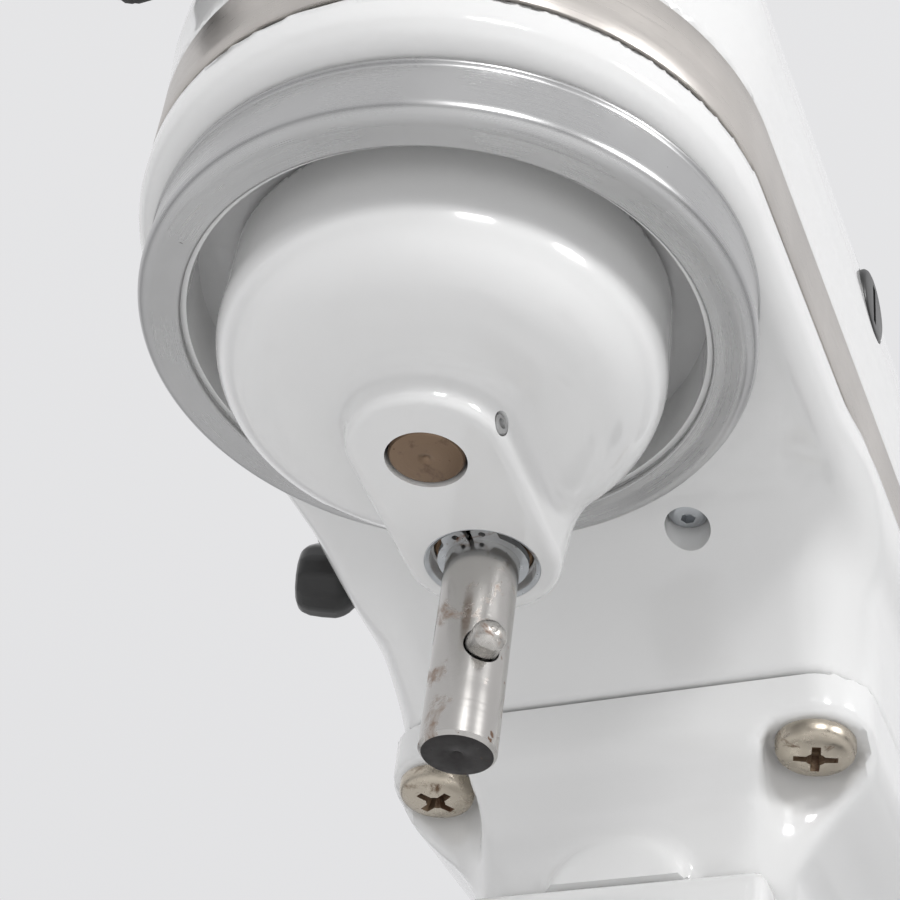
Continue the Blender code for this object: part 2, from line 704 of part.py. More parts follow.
def build_beater_shaft():
    centre = (PLANET_X, PLANET_Y)
    origin = (PLANET_X, PLANET_Y, SHAFT_END)
    shaft = turned(
        [
            (SHAFT_R - 0.5, SHAFT_END),
            (SHAFT_R, SHAFT_END + 0.5),
            (SHAFT_R, -22.4),
            (SHAFT_R - 0.5, -22.4),
            (SHAFT_R - 0.5, -21.2),
            (SHAFT_R, -21.2),
            (SHAFT_R, 22.4),
            (SHAFT_R - 0.5, 22.9),
        ],
        28,
        centre,
    )
    cut(shaft, cross_pin(PIN_R + GAP, -20.0, 20.0, 0.0))
    build_object("beater_shaft", shaft, STEEL, origin)
    build_object("beater_pin", cross_pin(PIN_R, -9.4, 11.4, 1.2), STEEL, origin)
    outer = []
    inner = []
    steps = 22
    opening = math.radians(13.0)
    for i in range(steps + 1):
        angle = math.radians(-90.0) + opening + (2 * math.pi - 2 * opening) * i / steps
        ear = 1.6 if i in (0, 1, steps - 1, steps) else 0.0
        back = 0.5 * (1 - math.cos(2 * math.pi * i / steps))
        outer.append((centre[0] + (7.5 + ear * 0.6 + back) * math.cos(angle), centre[1] + (7.5 + ear * 0.6 + back) * math.sin(angle)))
        inner.append((centre[0] + 6.2 * math.cos(angle), centre[1] + 6.2 * math.sin(angle)))
    outline = outer + inner[::-1]
    clip = loft([[(x, y, z) for x, y in outline] for z in (-22.3, -21.3)])
    build_object("beater_circlip", clip, ZINC, origin)
    space = PLANET_ANGLE * RING_TEETH / (2 * math.pi)
    phase = PLANET_ANGLE - (space - math.floor(space)) * 2 * math.pi / PLANET_TEETH
    planet = spur_gear(PLANET_TEETH, PLANET_MODULE, 13.6, 22.4, centre, phase, SHAFT_R + GAP)
    build_object("planet_pinion", planet, STEEL, origin)


def cross_pin(radius, start, end, dome):
    """The beater drive pin, along the x axis of the shaft before it is turned to its angle."""
    profile = [(radius, start), (radius, end - dome)]
    if dome:
        profile += [(radius * 0.88, end - dome * 0.45), (radius * 0.5, end)]
        profile = [(radius * 0.7, start)] + [(radius, start + 0.8)] + profile[1:]
    pin = along_x(turned(profile, 16))
    place = Matrix.Translation((PLANET_X, PLANET_Y, PIN_Z)) @ Matrix.Rotation(PIN_ANGLE, 4, "Z")
    return moved(pin, place)


# ================================================================ gear train
def build_train():
    build_object("ring_gear", internal_gear(RING_TEETH, PLANET_MODULE, 13.6, 23.0, 46.0), STEEL)
    bush = tube([(9.0, 24.3), (9.0, 31.7), (6.6, 31.7), (6.6, 24.3)], 20)
    build_object("centre_bush", bush, BRONZE)
    centre = spur_gear(CENTRE_TEETH, TRAIN_MODULE, 33.6, 42.0, (0, 0), 0.0, 0, 2)
    bevel = bevel_gear(BEVEL_TEETH, HUB_TEETH, math.radians(-90.0), 2, 0, -22.6)
    fuse(centre, moved(bevel, Matrix.Translation((0, 0, HUB_Z))))
    cut(centre, rod(6.6, 30.0, 60.0, 24))
    build_object("centre_gear", centre, STEEL)
    hub = bevel_gear(HUB_TEETH, BEVEL_TEETH, math.pi / HUB_TEETH, 3, 0, -29.0)
    turn = Matrix.Rotation(-math.pi / 2, 4, "X")
    moved(hub, Matrix.Translation((0, 0, HUB_Z)) @ turn @ Matrix.Rotation(-math.pi / 2, 4, "Z"))
    shank = along_y(rod(8.0, 0, 20.0, 24), 0, -46.0, HUB_Z)
    fuse(hub, shank)
    cut(hub, along_y(box(-4.2, 4.2, -4.2, 4.2, 0, 12.0), 0, -47.0, HUB_Z))
    build_object("hub_pinion", hub, STEEL, (0, -40.0, HUB_Z))

    toward = math.atan2(WHEEL_Y, WHEEL_X)
    part = toward * CENTRE_TEETH / (2 * math.pi)
    part -= math.floor(part)
    phase = toward + math.pi - (0.5 - part) * 2 * math.pi / PINION_TEETH
    where = (WHEEL_X, WHEEL_Y)
    origin = (WHEEL_X, WHEEL_Y, 50.0)
    pinion = spur_gear(PINION_TEETH, TRAIN_MODULE, 33.6, 42.0, where, phase, 0)
    fuse(pinion, rod(4.0, 27.3, 81.5, 20, where, 0.4))
    build_object("worm_pinion", pinion, STEEL, origin)
    lead = WORM_STARTS * math.pi * TRAIN_MODULE
    width = 8.0
    twist = lead * width / (2 * math.pi * WORM_R * WHEEL_R)
    wheel = spur_gear(WHEEL_TEETH, TRAIN_MODULE, MOTOR_Z - width / 2, MOTOR_Z + width / 2, where, 0.0, 4.3, 2, twist)
    build_object("worm_gear", wheel, BRONZE, origin)
    bracket = box(-34, 34, 52.0, 60.0, 20.2, 84.0)
    fuse(bracket, box(-33, -12, 22.0, 54.0, 76.0, 82.0))
    cut(bracket, along_y(rod(11.3, 0, 20, 24), 0, 45.0, MOTOR_Z))
    cut(bracket, rod(4.3, 70.0, 90.0, 16, where))
    build_object("gear_bracket", bracket, ALUMINIUM)


def build_motor():
    origin = (0, 100.0, MOTOR_Z)
    shaft = along_y(turned([(4.6, 0), (5.0, 0.4), (5.0, 170.0), (4.6, 170.4)], 20), 0, 14.0, MOTOR_Z)
    # the worm's crest must sit half a pitch from the wheel's tooth on the side facing the wheel
    thread = worm(-11.5, 11.5, 0.0)
    half_pitch = math.pi * TRAIN_MODULE / 2
    place = Matrix.Translation((0, WHEEL_Y, MOTOR_Z)) @ WORM_TURN
    moved(thread, place @ Matrix.Rotation(2 * math.pi * half_pitch / (WORM_STARTS * math.pi * TRAIN_MODULE), 4, "Z"))
    fuse(shaft, thread)
    build_object("armature_shaft", shaft, STEEL, origin)
    core = along_y(tube([(22.0, 0), (22.0, 44.0), (5.3, 44.0), (5.3, 0)], 20), 0, 94.0, MOTOR_Z)
    build_object("armature_core", core, LAMINATION, origin)
    commutator = along_y(tube([(12.5, 0), (12.5, 14.0), (5.3, 14.0), (5.3, 0)], 16), 0, 66.0, MOTOR_Z)
    build_object("commutator", commutator, COPPER, origin)
    profile = [(19.0, 0), (19.0, 2.0), (12.0, 4.0), (12.0, 8.0), (16.0, 9.0), (16.0, 11.0), (5.3, 11.0), (5.3, 0)]
    build_object("governor", along_y(tube(profile, 16), 0, 169.0, MOTOR_Z), BRASS, origin)
    ring = [(11.0, 0), (11.0, 7.0), (5.3, 7.0), (5.3, 0)]
    build_object("front_bearing", along_y(tube(ring, 16), 0, 52.5, MOTOR_Z), STEEL)
    build_object("rear_bearing", along_y(tube(ring, 16), 0, 157.5, MOTOR_Z), STEEL)
    plate = [(44.0, 0), (44.0, 6.0), (11.3, 6.0), (11.3, 0)]
    build_object("rear_bracket", along_y(tube(plate, 20), 0, 158.0, MOTOR_Z), ALUMINIUM)
    # laminations with the field coils standing out at both ends
    stator = [
        (23.2, -5.0),
        (38.0, -5.0),
        (40.0, -3.5),
        (40.0, 0.0),
        (44.0, 0.0),
        (44.0, 44.0),
        (40.0, 44.0),
        (40.0, 47.5),
        (38.0, 49.0),
        (23.2, 49.0),
    ]
    build_object("stator", along_y(tube(stator, 20), 0, 94.0, MOTOR_Z), LAMINATION)
    build_pair("brush", lambda: box(12.9, 44.0, 70.4, 75.6, MOTOR_Z - 2.6, MOTOR_Z + 2.6), CARBON)
    build_pair("brush_cap", brush_cap, BLACK)


def brush_cap():
    cap = along_x(turned([(7.6, 0), (7.6, 8.6), (9.2, 8.6), (9.2, 10.2), (8.4, 10.8)], 16), 45.0, 73.0, MOTOR_Z)
    return cut(cap, box(54.6, 60.0, 60.0, 86.0, MOTOR_Z - 0.9, MOTOR_Z + 0.9))


WORM_TURN = Matrix.Rotation(-math.pi / 2, 4, "X")


def build_speed_lever():
    origin = (LEVER_X, LEVER_Y, LEVER_Z0)
    eye = rod(7.0, LEVER_Z0, LEVER_Z1, 20)
    fuse(eye, box(-33.2, 0, -3.5, 3.5, LEVER_Z0, LEVER_Z1))
    cut(eye, rod(4.7, 10.0, 40.0, 20))
    place = Matrix.Translation((LEVER_X, LEVER_Y, 0)) @ Matrix.Rotation(LEVER_SWING, 4, "Z")
    build_object("speed_lever", moved(eye, place), STEEL, origin)
    profile = [(4.4, 0), (5.0, 1.0), (7.6, 3.6), (8.0, 5.0), (8.0, 10.5), (7.0, 13.0), (4.0, 14.0)]
    knob = along_x(turned(profile, 10), 31.8, 0, (LEVER_Z0 + LEVER_Z1) / 2)
    slot = box(30, 33.8, -3.8, 3.8, LEVER_Z0 - 0.3, LEVER_Z1 + 0.3)
    cut(knob, slot)
    moved(knob, place @ Matrix.Rotation(math.pi, 4, "Z"))
    build_object("speed_knob", knob, BLACK, origin)


# ================================================================ column and base
def build_column():
    body = loft([slab_outline(w, f, r, z, 9.0, 20.0) for z, w, f, r in COLUMN_SECTIONS])
    inner = [
        (-19.0, 24.0, 108.0, 174.0),
        (-60.0, 24.5, 109.5, 174.0),
        (-200.0, 24.5, 109.5, 174.0),
        (-254.0, 33.0, 109.5, 181.0),
    ]
    cut(body, loft([slab_outline(w, f, r, z, 6.0, 14.0) for z, w, f, r in inner]))
    # the arched boss on the front face, above the slide
    arch = along_y(turned([(13.0, 0), (15.0, 3.0), (15.0, 12.0)], 24), 0, 95.5, -52.0)
    cut(arch, box(-30, 30, 80, 120, -80, -46.5))
    fuse(body, arch)
    cut(body, box(-7.5, 7.5, 90.0, 112.0, CRANK_Z + 30.0 - LIFT_TRAVEL - 3.0, CRANK_Z + 45.0))
    for side in (1, -1):
        x0, x1 = (26.2, 40.0) if side > 0 else (-40.0, -26.2)
        cut(body, box(x0, x1, 108.7, 114.3, -215.0, -48.0))
        for y in COLUMN_SCREW_Y:
            cut(body, rod(3.4, -30.0, 0.0, 12, (side * COLUMN_SCREW_X, y)))
            cut(body, turned([(10.5, -62.0), (9.0, -20.6)], 24, (side * COLUMN_SCREW_X, y)))
    cut(body, along_x(rod(6.3, 0, 90, 24), -45.0, LIFT_Y, LIFT_Z))
    build_object("column", body, ENAMEL)
    for end, y in zip(("front", "rear"), COLUMN_SCREW_Y):
        build_pair("column_screw_" + end, lambda: pan_screw(COLUMN_SCREW_X, y), NICKEL)


def pan_screw(x, y):
    """A large pan-head screw, head down, with a crossed recess."""
    head = turned([(5.6, -25.2), (7.0, -24.6), (7.5, -23.2), (7.5, -20.9)], 16, (x, y))
    fuse(head, rod(3.0, -21.6, 2.0, 12, (x, y)))
    cut(head, box(x - 4.2, x + 4.2, y - 0.75, y + 0.75, -28.0, -23.0))
    cut(head, box(x - 0.75, x + 0.75, y - 4.2, y + 4.2, -28.0, -23.0))
    return head


def build_yoke():
    plate = box(-29.0, 29.0, 94.0, 103.7, -128.0, -46.8)
    for side in (1, -1):
        x0, x1 = (29.0 - 1.0, 35.0) if side > 0 else (-35.0, -28.0)
        fuse(plate, box(x0, x1, 94.0, 103.7, -128.0, -60.0))
        x0, x1 = (30.5, 35.0) if side > 0 else (-35.0, -30.5)
        fuse(plate, box(x0, x1, 102.0, 114.0, -128.0, -60.0))
        x0, x1 = (26.6, 32.0) if side > 0 else (-32.0, -26.6)
        fuse(plate, box(x0, x1, 109.1, 113.9, -127.0, -61.0))
        fuse(plate, yoke_arm(side))
        fuse(plate, turned([(10.0, YOKE_Z0), (11.0, YOKE_Z0 + 1), (11.0, YOKE_Z1 - 1), (10.0, YOKE_Z1)], 24, (side * 108.0, -8.0)))
        cut(plate, rod(2.8, YOKE_Z0 + 6.0, YOKE_Z1 + 5.0, 14, (side * 108.0, -8.0)))
    fuse(plate, box(-4.0, 4.0, 102.0, CRANK_Y + 14.0, CRANK_Z + 30.0, CRANK_Z + 42.0))
    fuse(plate, box(-4.0, 4.0, CRANK_Y - 7.0, CRANK_Y + 14.0, CRANK_Z - 10.0, CRANK_Z + 31.0))
    slot_half = CRANK_PIN_R + 0.95
    cut(plate, box(-10, 10, CRANK_Y - 4.5, CRANK_Y + 12.0, CRANK_Z - slot_half, CRANK_Z + slot_half))
    origin = (0, 99.0, -87.0)
    build_object("yoke", plate, ENAMEL, origin)
    pin = [(2.5, YOKE_Z0 + 6.3), (2.5, YOKE_Z1 + 0.3), (4.5, YOKE_Z1 + 0.3), (4.5, YOKE_Z1 + 8.0), (3.6, YOKE_Z1 + 10.0), (1.6, YOKE_Z1 + 11.0)]
    build_pair("bowl_pin", lambda: turned(pin, 12, (108.0, -8.0)), STEEL, origin)
    clip = box(-20.0, 20.0, 92.4, 93.7, -86.0, -70.0)
    fuse(clip, box(-9.0, 9.0, 92.4, 93.7, -71.0, -55.0))
    fuse(clip, box(-9.0, 9.0, 86.5, 93.6, -57.5, -56.2))
    build_object("bowl_clip", clip, STEEL, origin)


def yoke_arm(side):
    """One arm of the yoke, swept along its path in plan."""
    rings = []
    for i, (x, y) in enumerate(YOKE_PATH):
        before = YOKE_PATH[max(i - 1, 0)]
        after = YOKE_PATH[min(i + 1, len(YOKE_PATH) - 1)]
        along = Vector((after[0] - before[0], after[1] - before[1])).normalized()
        across = Vector((along.y, -along.x)) * YOKE_HALF
        soft = 1.5
        inner = across * ((YOKE_HALF - soft) / YOKE_HALF)
        ring = []
        for offset, z in (
            (-inner, YOKE_Z0),
            (inner, YOKE_Z0),
            (across, YOKE_Z0 + soft),
            (across, YOKE_Z1 - soft),
            (inner, YOKE_Z1),
            (-inner, YOKE_Z1),
            (-across, YOKE_Z1 - soft),
            (-across, YOKE_Z0 + soft),
        ):
            ring.append((side * (x + offset.x), y + offset.y, z))
        rings.append(ring)
    return loft(rings)


def build_lift():
    """The lift shaft with its crank, and the handle on the machine's right side."""
    pivot_y = LIFT_Y
    origin = (0, pivot_y, LIFT_Z)
    shaft = along_x(rod(6.0, 0, 76.0, 18, chamfer=0.5), -32.0, pivot_y, LIFT_Z)
    crank = rod(9.5, 5.0, 12.0, 18)
    fuse(crank, box(0, CRANK_R, -6.0, 6.0, 5.0, 12.0))
    fuse(crank, rod(6.5, 5.0, 12.0, 20, (CRANK_R, 0)))
    fuse(crank, rod(CRANK_PIN_R, -5.0, 7.0, 16, (CRANK_R, 0)))
    # the crank is drawn about z with its arm along x: stand it in the y-z plane
    upright = Matrix(((0, 0, 1, 0), (1, 0, 0, 0), (0, 1, 0, 0), (0, 0, 0, 1)))
    place = Matrix.Translation((0, pivot_y, LIFT_Z)) @ Matrix.Rotation(CRANK_HALF_SWING, 4, "X")
    moved(crank, place @ upright)
    fuse(shaft, crank)
    build_object("lift_shaft", shaft, STEEL, origin)
    arm = along_x(rod(11.0, 0, 7.0, 18, chamfer=0.8), 35.5, pivot_y, LIFT_Z)
    fuse(arm, box(36.0, 42.0, pivot_y - 6.5, pivot_y + 6.5, LIFT_Z, LIFT_Z + 92.0))
    fuse(arm, along_x(rod(8.5, 0, 6.0, 16), 36.0, pivot_y, LIFT_Z + 92.0))
    cut(arm, along_x(rod(6.3, 0, 30, 24), 20.0, pivot_y, LIFT_Z))
    fuse(arm, along_x(rod(3.2, 0, 20.0, 12), 41.0, pivot_y, LIFT_Z + 92.0))
    build_object("lift_handle", arm, ALUMINIUM, origin)
    grip = turned([(7.5, 0), (9.0, 1.5), (11.0, 14.0), (10.4, 20.0), (7.5, 24.0), (3.0, 25.5)], 16)
    cut(grip, rod(3.5, -1.0, 19.3, 12))
    build_object("lift_knob", along_x(grip, 42.4, pivot_y, LIFT_Z + 92.0), BLACK, origin)


def build_base():
    levels = [(BASE_Z0, 1.6), (BASE_Z0 + 2.0, 0.0), (-263.0, 0.0), (-257.5, 1.6), (-254.6, 5.0), (BASE_Z1, 9.0)]
    body = loft([base_outline(z, inset) for z, inset in levels])
    recess = ((BASE_Z0 - 3.0, 78.0), (-264.5, 78.0), (-262.0, 75.0))
    cut(body, loft([slab_outline(half, 97.0, 203.0, z, 8.0, 20.0) for z, half in recess]))
    for x, y in FEET.values():
        cut(body, rod(3.3, BASE_Z0 - 2.0, -270.0, 12, (x, y)))
    build_object("base", body, ENAMEL)
    foot = [(10.0, -283.0), (11.5, -282.0), (11.5, -280.3), (3.0, -280.3), (3.0, -271.0)]
    for name, spot in FEET.items():
        build_object("foot_" + name, turned(foot, 12, spot), RUBBER)


def clear_scene():
    for obj in list(bpy.data.objects):
        bpy.data.objects.remove(obj)


clear_scene()
build_housing()
build_band()
build_lower()
build_hub()
build_drip_ring()
build_planetary()
build_beater_shaft()
build_train()
build_motor()
build_speed_lever()
build_column()
build_yoke()
build_lift()
build_base()
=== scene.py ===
"""Looks of the bowl-lift planetary stand mixer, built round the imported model.

Local coordinates are millimetres about the planetary axis at the drip ring's bottom plane;
place() turns them into the model's frame.
"""
import itertools
import math

import bmesh
import bpy
import numpy as np
from mathutils import Matrix, Vector


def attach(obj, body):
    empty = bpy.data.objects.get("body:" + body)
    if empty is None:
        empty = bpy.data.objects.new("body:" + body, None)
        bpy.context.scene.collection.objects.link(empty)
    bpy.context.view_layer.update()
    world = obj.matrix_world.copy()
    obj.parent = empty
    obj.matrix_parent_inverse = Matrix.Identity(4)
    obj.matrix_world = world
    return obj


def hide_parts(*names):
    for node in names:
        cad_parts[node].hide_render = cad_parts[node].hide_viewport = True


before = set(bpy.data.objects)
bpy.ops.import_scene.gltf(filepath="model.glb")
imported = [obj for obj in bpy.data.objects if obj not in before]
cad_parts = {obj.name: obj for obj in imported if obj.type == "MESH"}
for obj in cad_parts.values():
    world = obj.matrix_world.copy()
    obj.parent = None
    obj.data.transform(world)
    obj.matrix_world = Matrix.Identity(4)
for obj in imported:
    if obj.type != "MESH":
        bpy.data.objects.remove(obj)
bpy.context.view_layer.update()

# ======== shared dimensions, mm
AXIS_Y = -64.0
RING_Z = 283.0
PLANET_ANGLE = math.radians(93.0)
ORBIT = 28.0
SHAFT_X = ORBIT * math.cos(PLANET_ANGLE)
SHAFT_Y = ORBIT * math.sin(PLANET_ANGLE)
SHAFT_R = 6.35
SHAFT_END = -60.8
BOSS_FACE = -23.4
PIN_Z = -43.5
PIN_ANGLE = math.radians(-47.0)
MOTOR_Z = 66.0
BRUSH_Y = 73.0
HUB_Z = 64.0
HUB_KNOB_Y = -52.0
PLUG = (108.0, 15.0)
CRANK_Y = 124.0
CRANK_Z = -160.0
SCREW_X = 38.0
SCREW_YS = (95.0, 196.0)
UNDERSIDE_SCREW = (21.0, 66.5)
BOWL_PIN = (108.0, -8.0)
FEET = {"front": (105.5, -84.0), "rear": (92.0, 176.0)}
SIDES = (("right", 1), ("left", -1))


def place(x, y, z):
    return Vector((x, y + AXIS_Y, z + RING_Z)) * 0.001


# ======== mesh helpers
def new_object(name, verts, faces, smooth=True):
    """A piece in the model's frame from local millimetre points."""
    mesh = bpy.data.meshes.new(name)
    points = (np.asarray(verts, dtype=float) + (0.0, AXIS_Y, RING_Z)) * 0.001
    mesh.from_pydata(points.tolist(), [], [list(map(int, f)) for f in faces])
    if smooth:
        mesh.shade_smooth()
    obj = bpy.data.objects.new(name, mesh)
    bpy.context.scene.collection.objects.link(obj)
    return obj


def fix_normals(obj, merge=0.0):
    work = bmesh.new()
    work.from_mesh(obj.data)
    if merge:
        bmesh.ops.remove_doubles(work, verts=work.verts, dist=merge)
    bmesh.ops.recalc_face_normals(work, faces=work.faces)
    work.to_mesh(obj.data)
    work.free()
    return obj


def surface(name, field, low, high, step):
    """The zero surface of a signed field, as quads pulled onto the exact surface."""
    low = np.asarray(low, float)
    counts = [int(math.ceil((b - a) / step)) + 1 for a, b in zip(low, high)]
    axes = [low[i] + step * np.arange(counts[i]) for i in range(3)]
    grid = np.meshgrid(*axes, indexing="ij")
    values = field(*grid)
    inside = values < 0
    total = np.zeros([c - 1 for c in counts], int)
    for offset in itertools.product((0, 1), repeat=3):
        total += inside[tuple(slice(d, c - 1 + d) for d, c in zip(offset, counts))]
    active = (total > 0) & (total < 8)
    number = np.full(active.shape, -1)
    number[active] = np.arange(active.sum())
    cells = np.argwhere(active)
    sums = np.zeros((len(cells), 3))
    hits = np.zeros(len(cells))
    for axis in range(3):
        others = [i for i in range(3) if i != axis]
        for offset in itertools.product((0, 1), repeat=2):
            start = cells.copy()
            start[:, others] += offset
            end = start.copy()
            end[:, axis] += 1
            v0 = values[tuple(start.T)]
            v1 = values[tuple(end.T)]
            cross = (v0 < 0) != (v1 < 0)
            t = np.where(cross, v0 / np.where(cross, v0 - v1, 1.0), 0.0)
            point = low + start * step
            point[:, axis] += t * step
            sums[cross] += point[cross]
            hits[cross] += 1
    verts = sums / hits[:, None]
    home = verts.copy()
    h = step * 0.05
    for _ in range(4):
        x, y, z = verts.T
        value = field(x, y, z)
        grad = np.stack([(field(x + a, y + b, z + c) - field(x - a, y - b, z - c)) / (2 * h) for a, b,
                         c in ((h, 0, 0), (0, h, 0), (0, 0, h))], axis=1)
        size = np.maximum((grad ** 2).sum(axis=1), 0.05)
        verts = verts - grad * (value / size)[:, None]
        verts = home + np.clip(verts - home, -0.75 * step, 0.75 * step)
    faces = []
    for axis in range(3):
        one, two = [(1, 2), (2, 0), (0, 1)][axis]
        cut_low = [slice(None)] * 3
        cut_high = [slice(None)] * 3
        cut_low[axis] = slice(0, counts[axis] - 1)
        cut_high[axis] = slice(1, counts[axis])
        a = inside[tuple(cut_low)]
        b = inside[tuple(cut_high)]
        edges = np.argwhere(a != b)
        ok = (edges[:, one] > 0) & (edges[:, two] > 0)
        ok &= (edges[:, one] < counts[one] - 1) & (edges[:, two] < counts[two] - 1)
        edges = edges[ok]
        leaving = a[tuple(edges.T)]
        corner = []
        for da, db in ((-1, -1), (0, -1), (0, 0), (-1, 0)):
            cell = edges.copy()
            cell[:, one] += da
            cell[:, two] += db
            corner.append(number[tuple(cell.T)])
        quads = np.stack(corner, axis=1)
        quads[~leaving] = quads[~leaving][:, ::-1]
        faces.append(quads)
    return new_object(name, verts, np.concatenate(faces))


def lathe(name, profile, steps=96, closed=True, centre=(0.0, 0.0), smooth_angle=35.0):
    """Turn a (radius, z) profile; points on the axis become poles."""
    verts = []
    rings = []
    for r, z in profile:
        if r < 1e-6:
            rings.append([len(verts)])
            verts.append((centre[0], centre[1], z))
        else:
            rings.append(list(range(len(verts), len(verts) + steps)))
            for i in range(steps):
                a = 2 * math.pi * i / steps
                verts.append((centre[0] + r * math.cos(a), centre[1] + r * math.sin(a), z))
    faces = []
    spans = len(rings) if closed else len(rings) - 1
    for k in range(spans):
        p = rings[k]
        q = rings[(k + 1) % len(rings)]
        if len(p) == 1 and len(q) == 1:
            continue
        for i in range(steps):
            j = (i + 1) % steps
            if len(p) == 1:
                faces.append((p[0], q[j], q[i]))
            elif len(q) == 1:
                faces.append((p[i], p[j], q[0]))
            else:
                faces.append((p[i], p[j], q[j], q[i]))
    return sharpen(fix_normals(new_object(name, verts, faces)), smooth_angle)


def arc(cx, cz, radius, start, end, count):
    """(radius, z) points on an arc, angles in degrees, counted from +r toward +z."""
    out = []
    for i in range(count + 1):
        a = math.radians(start + (end - start) * i / count)
        out.append((cx + radius * math.cos(a), cz + radius * math.sin(a)))
    return out


def transform(obj, matrix):
    """Move a piece's mesh by a matrix given in local millimetres."""
    shift = Matrix.Translation((0.0, AXIS_Y * 0.001, RING_Z * 0.001))
    scale = Matrix.Scale(0.001, 4)
    obj.data.transform(shift @ scale @ matrix @ scale.inverted() @ shift.inverted())
    return obj


def along_y(obj, x, y, z):
    return transform(obj, Matrix.Translation((x, y, z)) @ Matrix.Rotation(-math.pi / 2, 4, "X"))


def along_x(obj, x, y, z):
    return transform(obj, Matrix.Translation((x, y, z)) @ Matrix.Rotation(math.pi / 2, 4, "Y"))


def sharpen(obj, angle):
    obj.data.set_sharp_from_angle(angle=math.radians(angle))
    return obj


def bridge(name, rings, ends="caps", smooth=False, merge=0.0):
    """A skin over matching rings of points, with its ends capped, open, or joined in a loop."""
    n = len(rings[0])
    faces = []
    for k in range(len(rings) - (ends != "loop")):
        a, b = k * n, (k + 1) % len(rings) * n
        faces += [(a + i, a + (i + 1) % n, b + (i + 1) % n, b + i) for i in range(n)]
    if ends == "caps":
        faces += [tuple(range(n)), tuple(range(len(rings) * n - 1, (len(rings) - 1) * n - 1, -1))]
    return fix_normals(new_object(name, [p for ring in rings for p in ring], faces, smooth), merge)


def box_mesh(name, low, high):
    (x0, y0, z0), (x1, y1, z1) = low, high
    return bridge(name, [[(x0, y0, z), (x1, y0, z), (x1, y1, z), (x0, y1, z)] for z in (z0, z1)])


def rod_tool(r, z0, z1, centre=(0.0, 0.0), steps=96):
    return lathe("tool", [(0.0, z0), (r, z0), (r, z1), (0.0, z1)], steps, False, centre)


def add_bevel(obj, width, segments=3, angle=30.0):
    mod = obj.modifiers.new("bevel", "BEVEL")
    mod.width = width * 0.001
    mod.segments = segments
    mod.limit_method = "ANGLE"
    mod.angle_limit = math.radians(angle)
    mod.harden_normals = False
    return obj


def apply_boolean(obj, tool, operation="DIFFERENCE"):
    mod = obj.modifiers.new("cut", "BOOLEAN")
    mod.operation = operation
    mod.solver = "EXACT"
    mod.object = tool
    bpy.context.view_layer.update()
    graph = bpy.context.evaluated_depsgraph_get()
    mesh = bpy.data.meshes.new_from_object(obj.evaluated_get(graph))
    obj.modifiers.clear()
    obj.data = mesh
    bpy.data.objects.remove(tool)
    return obj


# ======== signed fields, mm
def soft_min(a, b, k):
    h = np.maximum(k - np.abs(a - b), 0) / k
    return np.minimum(a, b) - h * h * k * 0.25


def soft_max(a, b, k):
    return -soft_min(-a, -b, k)


def round_max(a, b, r):
    """Intersection of two half spaces with a true radius on the edge."""
    u = np.maximum(a + r, 0)
    v = np.maximum(b + r, 0)
    return np.minimum(np.maximum(a, b), -r) + np.sqrt(u * u + v * v)


def hole(x, y, cx, cy, r):
    return np.sqrt((x - cx) ** 2 + (y - cy) ** 2) - r


def segment_distance(x, y, x0, y0, x1, y1):
    dx, dy = x1 - x0, y1 - y0
    t = np.clip(((x - x0) * dx + (y - y0) * dy) / (dx * dx + dy * dy), 0, 1)
    return np.sqrt((x - x0 - t * dx) ** 2 + (y - y0 - t * dy) ** 2)


def smooth_table(z, zs, values):
    """A smooth curve through a short table (monotone cubic)."""
    zs = np.asarray(zs, float)
    values = np.asarray(values, float)
    order = np.argsort(zs)
    zs, values = zs[order], values[order]
    step = np.diff(zs)
    slope = np.diff(values) / step
    tangent = np.zeros(len(zs))
    tangent[0], tangent[-1] = slope[0], slope[-1]
    for i in range(1, len(zs) - 1):
        if slope[i - 1] * slope[i] > 0:
            tangent[i] = 2 * slope[i - 1] * slope[i] / (slope[i - 1] + slope[i])
    z = np.clip(z, zs[0], zs[-1])
    k = np.clip(np.searchsorted(zs, z, side="right") - 1, 0, len(step) - 1)
    t = (z - zs[k]) / step[k]
    t2, t3 = t * t, t * t * t
    return (
        (2 * t3 - 3 * t2 + 1) * values[k]
        + (t3 - 2 * t2 + t) * step[k] * tangent[k]
        + (-2 * t3 + 3 * t2) * values[k + 1]
        + (t3 - t2) * step[k] * tangent[k + 1]
    )


HEAD_HALF = 55.8
HEAD_FRONT = -58.0
HEAD_REAR = 231.5
NOSE_LENGTH = 57.5
TAIL_LENGTH = 48.0
HEAD_WIDE_Z = 50.0
HEAD_TOP = 127.6


def head_plan(x, y, inset=0.0):
    """1 on the head's outline in plan, less inside."""
    half = HEAD_HALF - inset
    front = y - (HEAD_FRONT + NOSE_LENGTH)
    rear = y - (HEAD_REAR - TAIL_LENGTH)
    side = np.abs(x) / half
    nose = np.sqrt(side ** 2 + (np.minimum(front, 0) / (NOSE_LENGTH - inset)) ** 2)
    tail = (side ** 2.6 + (np.maximum(rear, 0) / (TAIL_LENGTH - inset)) ** 2.6) ** (1 / 2.6)
    return np.where(front < 0, nose, tail)


def head_grow(z):
    """How the head narrows below its widest level."""
    return 1 - 0.026 * (1 - np.exp(-np.maximum(HEAD_WIDE_Z - z, 0) / 12))


def head_field(x, y, z, inset=0.0):
    plan = head_plan(x, y, inset)
    up = np.maximum(z - HEAD_WIDE_Z, 0) / (HEAD_TOP - HEAD_WIDE_Z - inset)
    full = ((plan / head_grow(z)) ** 2.15 + up ** 2.15) ** (1 / 2.15)
    return (full - 1) * (HEAD_HALF - inset)


# ======== materials
def link(tree, a, b):
    tree.links.new(a, b)


def node(tree, kind, **values):
    made = tree.nodes.new(kind)
    for key, value in values.items():
        if hasattr(made, key):
            setattr(made, key, value)
        else:
            made.inputs[key.replace("_", " ")].default_value = value
    return made


